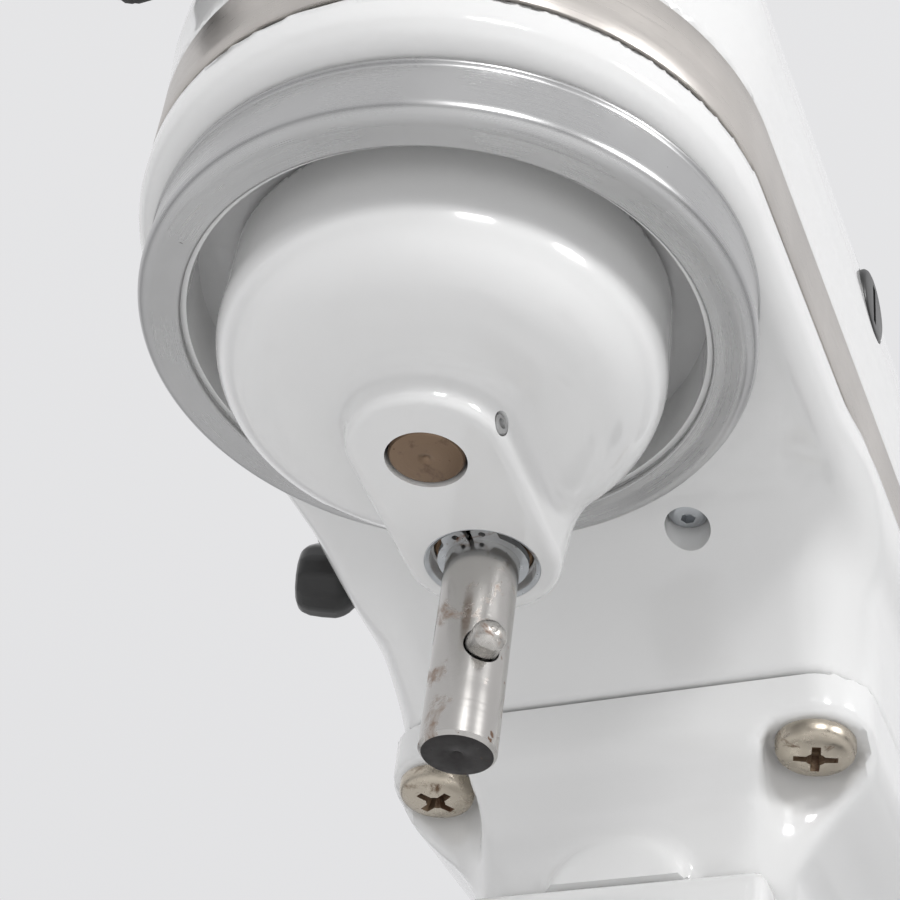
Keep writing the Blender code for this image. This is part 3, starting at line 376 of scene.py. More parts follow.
def ramp(tree, source, stops):
    made = tree.nodes.new("ShaderNodeValToRGB")
    elements = made.color_ramp.elements
    while len(elements) < len(stops):
        elements.new(0.5)
    for element, (position, value) in zip(elements, stops):
        element.position = position
        element.color = value if len(value) == 4 else (*value, 1.0)
    link(tree, source, made.inputs["Fac"])
    return made.outputs["Color"]


def grey(value):
    return (value, value, value, 1.0)


def noise(tree, coordinates, scale, detail=3.0, roughness=0.5, distortion=0.0):
    made = node(tree, "ShaderNodeTexNoise", Scale=scale, Detail=detail, Roughness=roughness,
                Distortion=distortion)
    link(tree, coordinates, made.inputs["Vector"])
    return made.outputs["Fac"]


def mix_colour(tree, factor, a, b):
    made = tree.nodes.new("ShaderNodeMix")
    made.data_type = "RGBA"
    for socket, value in ((made.inputs["Factor"], factor), (made.inputs["A"], a), (made.inputs["B"], b)):
        if isinstance(value, (tuple, float, int)):
            socket.default_value = value
        else:
            link(tree, value, socket)
    return made.outputs["Result"]


def math_node(tree, operation, a, b=0.0, clamp=False):
    made = tree.nodes.new("ShaderNodeMath")
    made.operation = operation
    made.use_clamp = clamp
    for socket, value in zip(made.inputs, (a, b)):
        if isinstance(value, (float, int)):
            socket.default_value = value
        else:
            link(tree, value, socket)
    return made.outputs["Value"]


def coords(tree, scale=(1.0, 1.0, 1.0), location=(0.0, 0.0, 0.0)):
    source = tree.nodes.new("ShaderNodeTexCoord")
    mapping = tree.nodes.new("ShaderNodeMapping")
    mapping.inputs["Scale"].default_value = scale
    mapping.inputs["Location"].default_value = location
    link(tree, source.outputs["Object"], mapping.inputs["Vector"])
    return mapping.outputs["Vector"]


def turned_coords(tree, across, along, centre=(0.0, AXIS_Y * 0.001)):
    """Coordinates that only change with the radius from a vertical axis and with height."""
    length = tree.nodes.new("ShaderNodeVectorMath")
    length.operation = "LENGTH"
    link(tree, coords(tree, (1.0, 1.0, 0.0), (-centre[0], -centre[1], 0.0)), length.inputs[0])
    split = tree.nodes.new("ShaderNodeSeparateXYZ")
    link(tree, coords(tree), split.inputs["Vector"])
    made = tree.nodes.new("ShaderNodeCombineXYZ")
    link(tree, math_node(tree, "MULTIPLY", length.outputs["Value"], across), made.inputs["X"])
    link(tree, math_node(tree, "MULTIPLY", split.outputs["Z"], along), made.inputs["Z"])
    return made.outputs["Vector"]


def spun_metal(name, colour, roughness, lines, centre, stain=None, spots=0.64, depth=0.00003):
    """Metal turned or spun about a vertical axis: fine rings, smudges and small marks."""
    made, tree, shader = material(name, 1.0, roughness)
    at = coords(tree)
    rings = noise(tree, turned_coords(tree, lines, lines, centre), 1.0, 5.0, 0.75)
    base = ramp(tree, noise(tree, at, 28.0, 4.0, 0.55), [(0.25, tuple(c * 0.86 for c in colour)),
                                                         (0.75, colour)])
    spun = ramp(tree, rings, [(0.25, grey(roughness - 0.05)), (0.75, grey(roughness + 0.06))])
    smudges = ramp(tree, noise(tree, at, 70.0, 4.0), [(0.35, grey(0.0)), (0.8, grey(0.10))])
    rough = math_node(tree, "ADD", spun, smudges)
    marks = ramp(tree, noise(tree, at, 330.0, 3.0, 0.7), [(spots + 0.05, grey(0)), (spots + 0.08, grey(1))])
    base = mix_colour(tree, marks, base, (*(stain or (0.12, 0.11, 0.10)), 1.0))
    if stain:
        patches = noise(tree, at, 95.0, 7.0, 0.7, 0.4)
        patches = ramp(tree, patches, [(spots - 0.06, grey(0)), (spots + 0.04, grey(0.8))])
        base = mix_colour(tree, patches, base, (*stain, 1.0))
        rough = math_node(tree, "ADD", rough, math_node(tree, "MULTIPLY", patches, 0.35), True)
        bare = math_node(tree, "SUBTRACT", 1.0, math_node(tree, "MULTIPLY", patches, 0.7))
        link(tree, bare, shader.inputs["Metallic"])
    feed(tree, shader, base, rough)
    bump(tree, shader, rings, 0.5, depth)
    return made


def feed(tree, shader, colour, roughness):
    link(tree, colour, shader.inputs["Base Color"])
    link(tree, roughness, shader.inputs["Roughness"])


def bump(tree, shader, height, strength, distance):
    made = node(tree, "ShaderNodeBump", Strength=strength, Distance=distance)
    link(tree, height, made.inputs["Height"])
    link(tree, made.outputs["Normal"], shader.inputs["Normal"])


def material(name, metallic, roughness, **extra):
    """A Principled material, its node tree and its shader, with the plain values set on the shader."""
    made = bpy.data.materials.new(name)
    made.use_nodes = True
    shader = made.node_tree.nodes["Principled BSDF"]
    for key, value in {"Metallic": metallic, "Roughness": roughness, **extra}.items():
        shader.inputs[key.replace("_", " ")].default_value = value
    return made, made.node_tree, shader


def enamel(name, colour=(0.77, 0.77, 0.765)):
    """Gloss enamel with a faint orange peel, slight dulling and a few tiny chips."""
    made, tree, shader = material(name, 0.0, 0.14, Coat_Weight=0.6, Coat_Roughness=0.05)
    at = coords(tree)
    base = ramp(tree, noise(tree, at, 9.0, 3.0), [(0.30, tuple(c * 0.975 for c in colour)), (0.70, colour)])
    spots = ramp(tree, noise(tree, at, 420.0, 2.0, 0.6), [(0.765, grey(0)), (0.79, grey(1))])
    where = ramp(tree, noise(tree, at, 26.0, 2.0), [(0.56, grey(0)), (0.62, grey(1))])
    chips = math_node(tree, "MULTIPLY", spots, where)
    wear = ramp(tree, noise(tree, at, 60.0, 4.0, 0.6), [(0.3, grey(0.10)), (0.8, grey(0.20))])
    feed(tree, shader, mix_colour(tree, chips, base, (0.055, 0.045, 0.04, 1.0)), wear)
    bump(tree, shader, noise(tree, at, 330.0, 1.5), 0.05, 0.0004)
    return made


def metal(name, colour, roughness, grain_scale=900.0, stain=None, stain_amount=0.0, grain=(1.0, 1.0, 1.0),
          scuff=0.25):
    """Bare metal with a machined or rolled grain, scuffs and, if asked, rust or grime."""
    made, tree, shader = material(name, 1.0, roughness)
    at = coords(tree)
    lines = noise(tree, coords(tree, grain), grain_scale, 3.0, 0.6)
    base = ramp(tree, noise(tree, at, 35.0, 4.0, 0.55), [(0.28, tuple(c * 0.78 for c in colour)),
                                                         (0.72, colour)])
    smooth, worn = max(0.03, roughness - 0.10), min(1.0, roughness + scuff)
    rough = ramp(tree, lines, [(0.25, grey(smooth)), (0.75, grey(worn))])
    if stain:
        edge = 0.64 - 0.22 * stain_amount
        mask = ramp(tree, noise(tree, at, 140.0, 6.0, 0.68, 0.6), [(edge, grey(0)), (edge + 0.09, grey(1))])
        base = mix_colour(tree, mask, base, (*stain, 1.0))
        rough = mix_colour(tree, mask, rough, grey(0.75))
        bare = math_node(tree, "SUBTRACT", 1.0, math_node(tree, "MULTIPLY", mask, 0.85))
        link(tree, bare, shader.inputs["Metallic"])
    feed(tree, shader, base, rough)
    bump(tree, shader, lines, 0.35, 0.00006)
    return made


def plastic(name, colour, roughness=0.32, grain=700.0):
    made, tree, shader = material(name, 0.0, roughness)
    at = coords(tree)
    broad = noise(tree, at, 40.0, 4.0)
    feed(tree, shader, ramp(tree, broad, [(0.3, colour), (0.8, tuple(c * 1.9 + 0.004 for c in colour))]),
         ramp(tree, broad, [(0.25, grey(roughness - 0.08)), (0.8, grey(roughness + 0.18))]))
    bump(tree, shader, noise(tree, at, grain, 2.0), 0.22, 0.0001)
    return made


RUST = (0.16, 0.075, 0.035)
MAT = {}


def make_materials():
    head_axis = (0.0, AXIS_Y * 0.001)
    shaft_axis = (SHAFT_X * 0.001, (SHAFT_Y + AXIS_Y) * 0.001)
    MAT.update(
        enamel=enamel("white_enamel"),
        # a darker copy of the white enamel: its grey is painted shade for the casting's insides, not a
        # different paint
        inner=enamel("enamel_painted_shade", (0.62, 0.62, 0.62)),
        ring=spun_metal("satin_aluminium", (0.55, 0.55, 0.55), 0.25, 1400.0, head_axis, None, 0.68),
        band=metal("band_metal", (0.66, 0.625, 0.59), 0.34, 220.0, grain=(0.4, 0.4, 30.0), scuff=0.10),
        shaft=spun_metal("shaft_steel", (0.54, 0.525, 0.505), 0.17, 2600.0, shaft_axis, (0.20, 0.12, 0.075),
                         0.63, 0.00001),
        shaft_end=metal("shaft_end_steel", (0.055, 0.052, 0.052), 0.34, 500.0, RUST, 0.10),
        pin=metal("pin_steel", (0.62, 0.60, 0.57), 0.20, 700.0, RUST, 0.12),
        clip=metal("zinc_steel", (0.56, 0.58, 0.60), 0.30, 500.0, RUST, 0.05),
        nickel=metal("tarnished_nickel", (0.60, 0.54, 0.45), 0.24, 420.0, (0.15, 0.09, 0.05), 0.30),
        plug=spun_metal("browned_steel", (0.25, 0.175, 0.12), 0.34, 3200.0, head_axis, (0.09, 0.05, 0.03),
                        0.60, 0.00006),
        bronze=metal("sintered_bronze", (0.28, 0.19, 0.12), 0.46, 600.0, (0.04, 0.025, 0.02), 0.4),
        rusty=metal("rusty_recess", (0.30, 0.22, 0.15), 0.5, 500.0, (0.10, 0.05, 0.025), 0.75),
        steel=metal("plain_steel", (0.52, 0.52, 0.52), 0.30),
        aluminium=metal("cast_aluminium", (0.62, 0.63, 0.64), 0.38),
        brass=metal("brass", (0.70, 0.52, 0.25), 0.32),
        copper=metal("copper", (0.62, 0.30, 0.18), 0.34),
        laminations=metal("laminations", (0.28, 0.29, 0.31), 0.42, 200.0, grain=(1.0, 14.0, 1.0)),
        polished=metal("polished_metal", (0.72, 0.73, 0.75), 0.12, 300.0),
        black=plastic("black_plastic", (0.012, 0.012, 0.012)),
        rubber=plastic("black_rubber", (0.02, 0.02, 0.02), 0.62, 380.0),
        carbon=plastic("carbon_brush", (0.02, 0.02, 0.022), 0.55),
    )


def paint(obj, *keys):
    obj.data.materials.clear()
    for key in keys:
        obj.data.materials.append(MAT[key])
    return obj


def finish_piece(obj, body, node_name=None, look="enamel"):
    if look:
        paint(obj, look)
    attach(obj, body)
    if node_name:
        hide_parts(node_name)
    return obj


# ======== planetary and beater shaft
DOME_R = 37.6
DOME_BOTTOM = -16.5
DOME_CORNER = 14.0
DOME_TOP = 11.5


def planetary_field(x, y, z):
    rho = np.sqrt(x * x + y * y)
    dome = round_max(rho - DOME_R, DOME_BOTTOM - z, DOME_CORNER)
    dome = round_max(dome, z - DOME_TOP, 0.8)
    radius = 13.2 + 0.13 * np.clip(z - BOSS_FACE, 0, 30)
    boss = segment_distance(x, y, 0.4, -0.6, SHAFT_X, SHAFT_Y) - radius
    boss = round_max(boss, BOSS_FACE - z, 1.3)
    boss = round_max(boss, z - 4, 2)
    return soft_min(dome, boss, 3.4)


def set_pin(obj):
    """Stand a piece drawn along x in the roll pin's hole."""
    return transform(obj, Matrix.Translation((0, 0, -20.8)) @ Matrix.Rotation(math.radians(-10), 4, "Z"))


def make_planetary():
    dome = surface("planetary_casting", planetary_field, (-40, -40, -25.5), (40, 44, 13.5), 1)
    apply_boolean(dome, rod_tool(6.72, -30, 20))
    spot = (SHAFT_X, SHAFT_Y)
    apply_boolean(dome, rod_tool(9.95, -30, BOSS_FACE + 0.55, spot))
    apply_boolean(dome, rod_tool(9.1, -30, -20.4, spot))
    apply_boolean(dome, rod_tool(8.6, -30, 20, spot))
    apply_boolean(dome, set_pin(along_x(rod_tool(2, 8, 22, steps=32), 0, 0, 0)))
    finish_piece(sharpen(dome, 50), "planetary", "planetary")
    # the bare rim left round the shaft's recess
    face = BOSS_FACE
    rim = lathe("shaft_recess_rim", [(9.94, face + 0.5), (9.94, face + 0.06), (9.86, face - 0.02),
                                     (9.72, face - 0.02), (9.14, face + 0.42), (9.14, face + 0.55)], 96,
                True, spot)
    finish_piece(rim, "planetary", None, "clip")
    profile = [(0, face + 0.95), (0.45, face + 0.62), (0.9, face + 0.34), (1.6, face + 0.30),
               (5.5, face + 0.24)]
    profile += [(5.9, face + 0.34), (6.25, face + 0.75), (6.25, 55), (0, 55)]
    finish_piece(lathe("centre_shaft_end", profile, 72, False), "planetary", "centre_shaft", "plug")
    bush = lathe("beater_bush_turned", [(8.5, -20.2), (8.5, 11.2), (SHAFT_R + 0.15, 11.2),
                                        (SHAFT_R + 0.15, -20), (SHAFT_R + 0.5, -20.6), (8.1, -20.6)], 64,
                 True, spot)
    finish_piece(bush, "planetary", "beater_bush", "bronze")
    pin = lathe("roll_pin_turned", [(0, 0), (1.75, 0), (1.75, 6.6), (1.6, 6.95), (0.9, 7), (0.7, 6.3),
                                    (0, 6.3)], 40, False)
    set_pin(along_x(pin, 7, 0, 0))
    finish_piece(pin, "planetary", "planetary_roll_pin", "steel")


def make_beater_shaft():
    centre = (SHAFT_X, SHAFT_Y)
    r = SHAFT_R
    profile = [(0, SHAFT_END + 0.9), (0.35, SHAFT_END + 0.75), (1.1, SHAFT_END + 0.1), (1.4, SHAFT_END),
               (r - 0.9, SHAFT_END), (r - 0.55, SHAFT_END + 0.08), (r, SHAFT_END + 0.7)]
    profile += [(r, -22.6), (r - 0.5, -22.6), (r - 0.5, -21.2), (r, -21.2), (r, 22.4), (0, 22.4)]
    shaft = lathe("beater_shaft_turned", profile, 96, False, centre)
    across = Matrix.Translation((SHAFT_X, SHAFT_Y, PIN_Z)) @ Matrix.Rotation(PIN_ANGLE, 4, "Z")
    apply_boolean(shaft, transform(along_x(rod_tool(3.15, -20, 20, steps=40), 0, 0, 0), across))
    finish_piece(sharpen(shaft, 35), "beater", "beater_shaft", None)
    paint(shaft, "shaft", "shaft_end")
    end_z = (SHAFT_END + 1 + RING_Z) * 0.001
    for poly in shaft.data.polygons:
        rho = math.hypot(poly.center.x * 1000 - SHAFT_X, poly.center.y * 1000 - AXIS_Y - SHAFT_Y)
        poly.material_index = 1 if poly.center.z < end_z and rho < r - 0.6 else 0
    profile = [(0, -9.4), (2.3, -9.4), (2.85, -8.8), (2.85, 9.3)] + arc(0, 8.4, 3, 18, 72, 8)
    profile += [(0.62, 11.3), (0.45, 11.05), (0, 11)]
    pin = lathe("beater_pin_turned", profile, 48, False)
    finish_piece(transform(along_x(pin, 0, 0, 0), across), "beater", "beater_pin", "pin")
    make_circlip(centre)


def make_circlip(centre):
    """External retaining ring, its two holed lugs facing the front."""
    steps = 180
    facing = math.radians(-87)
    half_gap = math.radians(4.5)
    inner_r = 6.05
    outer = []
    inner = []
    for i in range(steps + 1):
        t = i / steps
        from_gap = min(t, 1 - t) * (2 * math.pi - 2 * half_gap)
        a = facing + half_gap + (2 * math.pi - 2 * half_gap) * t
        band = 1.35 + 0.55 * math.sin(math.pi * t)
        fade = min(max((from_gap - math.radians(27)) / math.radians(11), 0), 1)
        lug = (8.95 - inner_r - band) * (1 - fade * fade * (3 - 2 * fade))
        corner = max(0, 1 - from_gap / math.radians(3)) * 0.35
        r = inner_r + band + lug - corner
        outer.append((centre[0] + r * math.cos(a), centre[1] + r * math.sin(a)))
        inner.append((centre[0] + inner_r * math.cos(a), centre[1] + inner_r * math.sin(a)))
    verts = []
    faces = []
    for ring, z in ((outer, -22.75), (outer, -21.55), (inner, -21.55), (inner, -22.75)):
        verts.extend((x, y, z) for x, y in ring)
    n = steps + 1
    for i in range(steps):
        for k in range(4):
            a, b = k * n, ((k + 1) % 4) * n
            faces.append((a + i, a + i + 1, b + i + 1, b + i))
    faces.append((0, n, 2 * n, 3 * n))
    faces.append((n - 1, 2 * n - 1, 3 * n - 1, 4 * n - 1))
    clip = fix_normals(new_object("circlip_lugged", verts, faces, False))
    for sign in (-1, 1):
        a = facing + sign * math.radians(17.5)
        apply_boolean(clip, rod_tool(0.62, -25, -20, (centre[0] + 7.75 * math.cos(a),
                                                      centre[1] + 7.75 * math.sin(a)), 24))
    add_bevel(clip, 0.12, 2, 40)
    finish_piece(clip, "beater", "beater_circlip", "clip")


# ======== drip ring
def make_drip_ring():
    """A spun ring: a rolled top edge, a tall wall, a rounded corner and a flat face with a turned-in edge."""
    profile = [(51.45, 12.55), (51.85, 12.45), (51.95, 12.1), (51.9, 11.7), (51.6, 11.4), (51.6, 10.8),
               (51.75, 7), (51.95, 3.4)]
    profile += arc(49.25, 2.75, 2.72, 4, -90, 14)
    profile += [(48.6, 0.1), (47.2, 0.3), (46, 0.35), (45.5, 0.28)]
    profile += arc(45.15, 0.98, 0.72, -75, -190, 9)
    profile += [(44.6, 1.7), (48.6, 1.6), (50, 2.6), (50.7, 4.2), (50.8, 8), (50.85, 12.3)]
    ring = lathe("drip_ring_spun", profile, 220, True, (0, 0), 60)
    finish_piece(ring, "frame", "drip_ring", "ring")


# ======== head
NECK_Z = (-10.4, -7, -2, 3, 8, 12, 15.5, 17.5)
NECK_HALF = (48.5, 48.7, 49.3, 50.2, 51.2, 52, 52.7, 53)
NECK_FRONT = (87.1, 85, 81.3, 77, 72, 67, 60.5, 54)
NECK_REAR = (205.5, 207, 209, 211.5, 214, 216.5, 219, 221)


def lower_field(x, y, z):
    plan = (head_plan(x, y) / 0.9767 - 1) * 54.5
    slab = round_max(plan, 13.2 - z, 5.5)
    half = smooth_table(z, NECK_Z, NECK_HALF)
    front = smooth_table(z, NECK_Z, NECK_FRONT)
    rear = smooth_table(z, NECK_Z, NECK_REAR)
    neck = round_max((front - y) * 0.72, np.abs(x) - half, 13)
    neck = round_max(neck, y - rear, 24)
    neck = np.maximum(neck, z - 17.5)
    body = soft_min(slab, neck, 9)
    skirt = np.maximum(np.maximum(hole(x, y, 0, 0, 48.3), 1.7 - z), z - 16)
    body = soft_min(body, skirt, 4)
    body = round_max(body, -10.4 - z, 0.5)
    body = round_max(body, z - 22.4, 0.3)
    pocket = np.maximum(plan + 4.6, 19.85 - z)
    body = np.maximum(body, -pocket)
    cavity = np.maximum(np.maximum(np.abs(x) - 18, np.abs(y - 144) - 50), -7 - z)
    body = np.maximum(body, -cavity)
    gland = np.maximum(np.sqrt(x ** 2 + (z - 4) ** 2) - 8.2, 195 - y)
    return np.maximum(body, -gland)


def shell_field(x, y, z):
    """Motor housing and rear cover as one shell, with the trim band's seat."""
    outer = head_field(x, y, z)
    outer = np.maximum(outer, np.minimum(outer + 1.15, 37.9 - z))
    wall = np.maximum(outer, -head_field(x, y, z, 3.6))
    return np.maximum(wall, 22.75 - z)


def hub_boss(x, y, z):
    rho = np.sqrt(x * x + (z - HUB_Z) ** 2)
    boss = round_max(rho - 24, -64 - y, 1.4)
    return np.maximum(boss, y + 34)


def housing_field(x, y, z):
    body = shell_field(x, y, z)
    body = soft_min(body, hub_boss(x, y, z), 4)
    knob_boss = np.sqrt((y - HUB_KNOB_Y) ** 2 + (z - HUB_Z) ** 2) - 8
    knob_boss = round_max(knob_boss, -39.2 - x, 1)
    knob_boss = np.maximum(knob_boss, x + 17)
    body = soft_min(body, knob_boss, 2.5)
    post = np.sqrt((y - BRUSH_Y) ** 2 + (z - MOTOR_Z) ** 2)
    body = np.minimum(body, np.maximum(post - 12, np.abs(np.abs(x) - 48.2) - 5.2))
    return np.maximum(body, y - 197.85)


def cover_field(x, y, z):
    return np.maximum(shell_field(x, y, z), 198.15 - y)


def joined(name, objects):
    """One object from several, for a single Boolean or a one-piece part."""
    work = bmesh.new()
    for obj in objects:
        work.from_mesh(obj.data)
        bpy.data.objects.remove(obj)
    mesh = bpy.data.meshes.new(name)
    work.to_mesh(mesh)
    work.free()
    obj = bpy.data.objects.new(name, mesh)
    bpy.context.scene.collection.objects.link(obj)
    return obj


def rounded_slot(x0, x1, y0, y1, z, half, steps=10):
    """A bar along x with round ends, running from y0 to y1."""
    outline = [(x1 - half + half * math.cos(a),
                z + half * math.sin(a)) for a in (math.pi * (i / steps - 0.5) for i in range(steps + 1))]
    outline += [(x0 + half + half * math.cos(a),
                 z + half * math.sin(a)) for a in (math.pi * (i / steps + 0.5) for i in range(steps + 1))]
    return bridge("slot", [[(px, y, pz) for px, pz in outline] for y in (y0, y1)])


def make_head():
    lower = surface("head_lower_casting", lower_field, (-57, -60, -14), (57, 234, 25), 1.25)
    bore = [(0, -30), (43.6, -30), (43.6, 12.6), (38.2, 12.6), (38.2, 13.5), (46.2, 13.5), (46.2, 40),
            (0, 40)]
    apply_boolean(lower, lathe("bore_tool", bore, 220, False))
    tools = [rod_tool(4.35, 5, 15.5, (side * UNDERSIDE_SCREW[0], UNDERSIDE_SCREW[1]), 64) for side in (-1, 1)]
    tools += [rod_tool(3.3, -20, 2.4, (side * SCREW_X, y), 32) for side in (-1, 1) for y in SCREW_YS]
    tools.append(along_x(lathe("tool", [(0, 46), (4.5, 46), (4.5, 53), (5.3, 53.2), (5.3, 60), (0, 60)], 64,
                               False), 0, *PLUG))
    apply_boolean(lower, joined("tools", tools))
    # a plate closing the gap above the planetary, in the darker enamel copy whose grey is painted shade
    shield = lathe("gear_shield", [(33.5, 12.5), (46.1, 12.5), (46.1, 12.9), (33.5, 12.9)], 160)
    finish_piece(shield, "frame", None, "inner")
    finish_piece(sharpen(lower, 48), "frame", "head_lower")

    housing = surface("motor_housing", housing_field, (-58, -66, 21), (58, 200, 130), 1.6)
    tools = [box_mesh("tool", (-60, 81, 22.6), (-45, 112, 26.4))]
    tools.append(along_y(rod_tool(11.5, -70, -29), 0, 0, HUB_Z))
    tools.append(along_x(rod_tool(3.3, -50, -10, steps=40), 0, HUB_KNOB_Y, HUB_Z))
    for side in (-1, 1):
        cap = [(0, 40), (7.1, 40), (7.1, 53), (7.9, 53), (7.9, 62), (0, 62)]
        tool = along_x(lathe("tool", [(r, side * h) for r, h in cap], 80, False), 0, BRUSH_Y, MOTOR_Z)
        tools.append(fix_normals(tool))
    apply_boolean(housing, joined("tools", tools))
    finish_piece(sharpen(housing, 48), "frame", "head_housing")
    make_hinge_ear("hinge_ear_right", 5.3)
    make_hinge_ear("hinge_ear_left", -9.3)
    tube = along_y(lathe("hub_sleeve", [(16, -50), (16, -30), (11.55, -30), (11.55, -63.2), (12.2, -63.9),
                                        (12.6, -63.9), (12.6, -50)], 96), 0, 0, HUB_Z)
    finish_piece(tube, "frame", None, "aluminium")

    cover = surface("rear_cover_shell", cover_field, (-58, 196, 21), (58, 234, 130), 1.3)
    tools = [rounded_slot(-22, 22, 214, 240, 46 + row * 9, 2) for row in (0, 1, 3, 4)]
    tools.append(along_y(rod_tool(2.5, 200, 240, (0, 0), 32), 0, 0, MOTOR_Z))
    apply_boolean(cover, joined("tools", tools))
    finish_piece(sharpen(cover, 48), "frame", "rear_cover")
    make_band()


def make_hinge_ear(name, x0):
    """A rounded ear that carries the hub cover's pin."""
    outline = [(-66.9 + 2.6 * math.cos(a),
                91 + 2.6 * math.sin(a)) for a in (math.pi / 2 + math.pi * i / 16 for i in range(17))]
    outline += [(-50, 88.4), (-50, 93.6)]
    ear = bridge(name, [[(x, y, z) for y, z in outline] for x in (x0, x0 + 4)])
    finish_piece(add_bevel(ear, 0.5, 3, 50), "frame")


def band_outline(z, inset, count=200):
    """The head's outline at a height, as points spaced evenly round it."""
    grow = float(head_grow(z))
    half = HEAD_HALF * grow - inset
    nose = NOSE_LENGTH * grow - inset
    tail = TAIL_LENGTH * grow - inset
    y_nose = HEAD_FRONT + NOSE_LENGTH
    y_tail = HEAD_REAR - TAIL_LENGTH
    points = []
    quarter = count // 4
    for i in range(2 * quarter + 1):
        a = math.pi + math.pi * i / (2 * quarter)
        points.append((half * math.cos(a), y_nose + nose * math.sin(a)))
    for i in range(1, 30):
        points.append((half, y_nose + (y_tail - y_nose) * i / 30))
    for i in range(2 * quarter + 1):
        a = math.pi * i / (2 * quarter)
        c, s = math.cos(a), math.sin(a)
        points.append((half * math.copysign(abs(c) ** (2 / 2.6), c), y_tail + tail * abs(s) ** (2 / 2.6)))
    for i in range(1, 30):
        points.append((-half, y_tail + (y_nose - y_tail) * i / 30))
    return [(x, y, z) for x, y in points]


def make_band():
    levels = [(23.4, 0.9), (23.2, 0.4), (23.27, 0.12), (23.5, 0), (27, 0), (32, 0), (37.3, 0),
              (37.53, 0.12), (37.6, 0.4), (37.4, 0.9)]
    rings = [band_outline(z, inset) for z, inset in levels]
    band = sharpen(bridge("trim_band_strip", rings, "loop", True), 40)
    apply_boolean(band, box_mesh("slot_tool", (-70, 81, 22), (-40, 112, 26.4)))
    finish_piece(band, "frame", "trim_band", "band")


# ======== column
COLUMN_Z = (-253, -244, -228, -205, -120, -70, -50, -44, -38, -32.5, -28, -24, -19.5, -10.7)
COLUMN_HALF = (44, 40, 34, 30.2, 30, 30, 30.4, 31.2, 33.8, 38, 43, 46.8, 48.5, 48.5)
COLUMN_FRONT = (95, 99, 103, 104, 104, 104, 103.6, 98.4, 97, 95.4, 92.4, 89.4, 87.7, 87.2)
COLUMN_REAR = (198, 192, 184, 180.2, 180, 181, 185, 186.6, 190, 194.6, 199.6, 203.8, 205.2, 205.5)


def column_field(x, y, z):
    half = smooth_table(z, COLUMN_Z, COLUMN_HALF)
    front = smooth_table(z, COLUMN_Z, COLUMN_FRONT)
    rear = smooth_table(z, COLUMN_Z, COLUMN_REAR)
    body = round_max((front - y) * 0.85, (np.abs(x) - half) * 0.85, 9)
    body = round_max(body, (y - rear) * 0.85, 18)
    rho = np.sqrt(x * x + (z + 52) ** 2)
    arch = round_max(rho - 15, 95.2 - y, 2.5)
    arch = np.maximum(arch, -46.4 - z)
    body = soft_min(body, np.maximum(arch, y - 112), 3.5)
    for side in (-1, 1):
        for cy in SCREW_YS:
            pocket = hole(x, y, side * SCREW_X, cy, 9.3 + 0.04 * (-20.6 - z))
            pocket = round_max(pocket, z + 20.6, 2)
            pocket = np.maximum(pocket, -62 - z)
            body = soft_max(body, -pocket, 3)
    inner = np.maximum(np.maximum(np.abs(x) - 22, np.abs(y - 139.3) - 29.5), z + 19)
    body = np.maximum(body, -inner)
    slot = np.maximum(np.maximum(np.abs(x) - 7.5, np.abs(y - 101) - 11), np.maximum(z + 95.7, -152.3 - z))
    body = np.maximum(body, -slot)
    shaft = np.sqrt((y - CRANK_Y) ** 2 + (z - CRANK_Z) ** 2) - 6.3
    body = np.maximum(body, -shaft)
    body = round_max(body, z + 10.7, 0.5)
    return np.maximum(body, -253 - z)


def make_column():
    column = surface("column_casting", column_field, (-51, 84, -255), (51, 208, -8), 1.5)
    grooves = [box_mesh("groove", (x0, 108.7, -215), (x1, 114.3, -46)) for x0,
               x1 in ((-50, -26.2), (26.2, 50))]
    apply_boolean(column, joined("grooves", grooves))
    finish_piece(sharpen(column, 40), "frame", "column")


# ======== fasteners
def pan_screw(name, node_name, x, y, turn):
    """A thick pan head with a worn, rust-filled cross recess."""
    profile = [(0, -25.2), (3.6, -25.15), (5.6, -24.95), (6.6, -24.6), (7.15, -24), (7.45, -23.1),
               (7.5, -22.3), (7.5, -21.4), (7.2, -20.95), (3, -20.9), (3, 2), (0, 2)]
    head = lathe(name, profile, 72, False, smooth_angle=50)
    mouth = ((0.5, -1.05), (5, -0.95), (5, 0.95), (0.5, 1.05))
    floor = ((0.5, -0.7), (2.6, -0.55), (2.6, 0.55), (0.5, 0.7))
    for quarter in range(4):
        arm = bridge("arm", [[(px, py, pz) for px, py in ring] for ring,
                             pz in ((mouth, -26.5), (floor, -22.8))])
        apply_boolean(head, transform(arm, Matrix.Rotation(quarter * math.pi / 2, 4, "Z")))
    apply_boolean(head, lathe("tool", [(0, -26.5), (2.3, -26.5), (1.1, -22.1), (0, -21.9)], 24, False))
    transform(head, Matrix.Translation((x, y, 0)) @ Matrix.Rotation(turn, 4, "Z"))
    finish_piece(sharpen(head, 42), "frame", node_name, None)
    paint(head, "nickel", "rusty")
    for poly in head.data.polygons:
        c = poly.center * 1000
        rho = math.hypot(c.x - x, c.y - AXIS_Y - y)
        deep = -24.8 < c.z - RING_Z < -21.5 and rho < 5.2
        poly.material_index = 1 if deep else 0


def socket_screw(name, node_name, x, y):
    profile = [(0, 12.6), (1.6, 12.55), (2.6, 12.7), (3.5, 13.2), (3.85, 14), (3.85, 15.1), (0, 15.1)]
    head = lathe(name, profile, 48, False, (x, y), 50)
    tool = lathe("socket_tool", [(0, 10), (1.45, 10), (1.45, 14.3), (0, 14.3)], 6, False, (x, y))
    apply_boolean(head, tool)
    finish_piece(sharpen(head, 42), "frame", node_name, "clip")


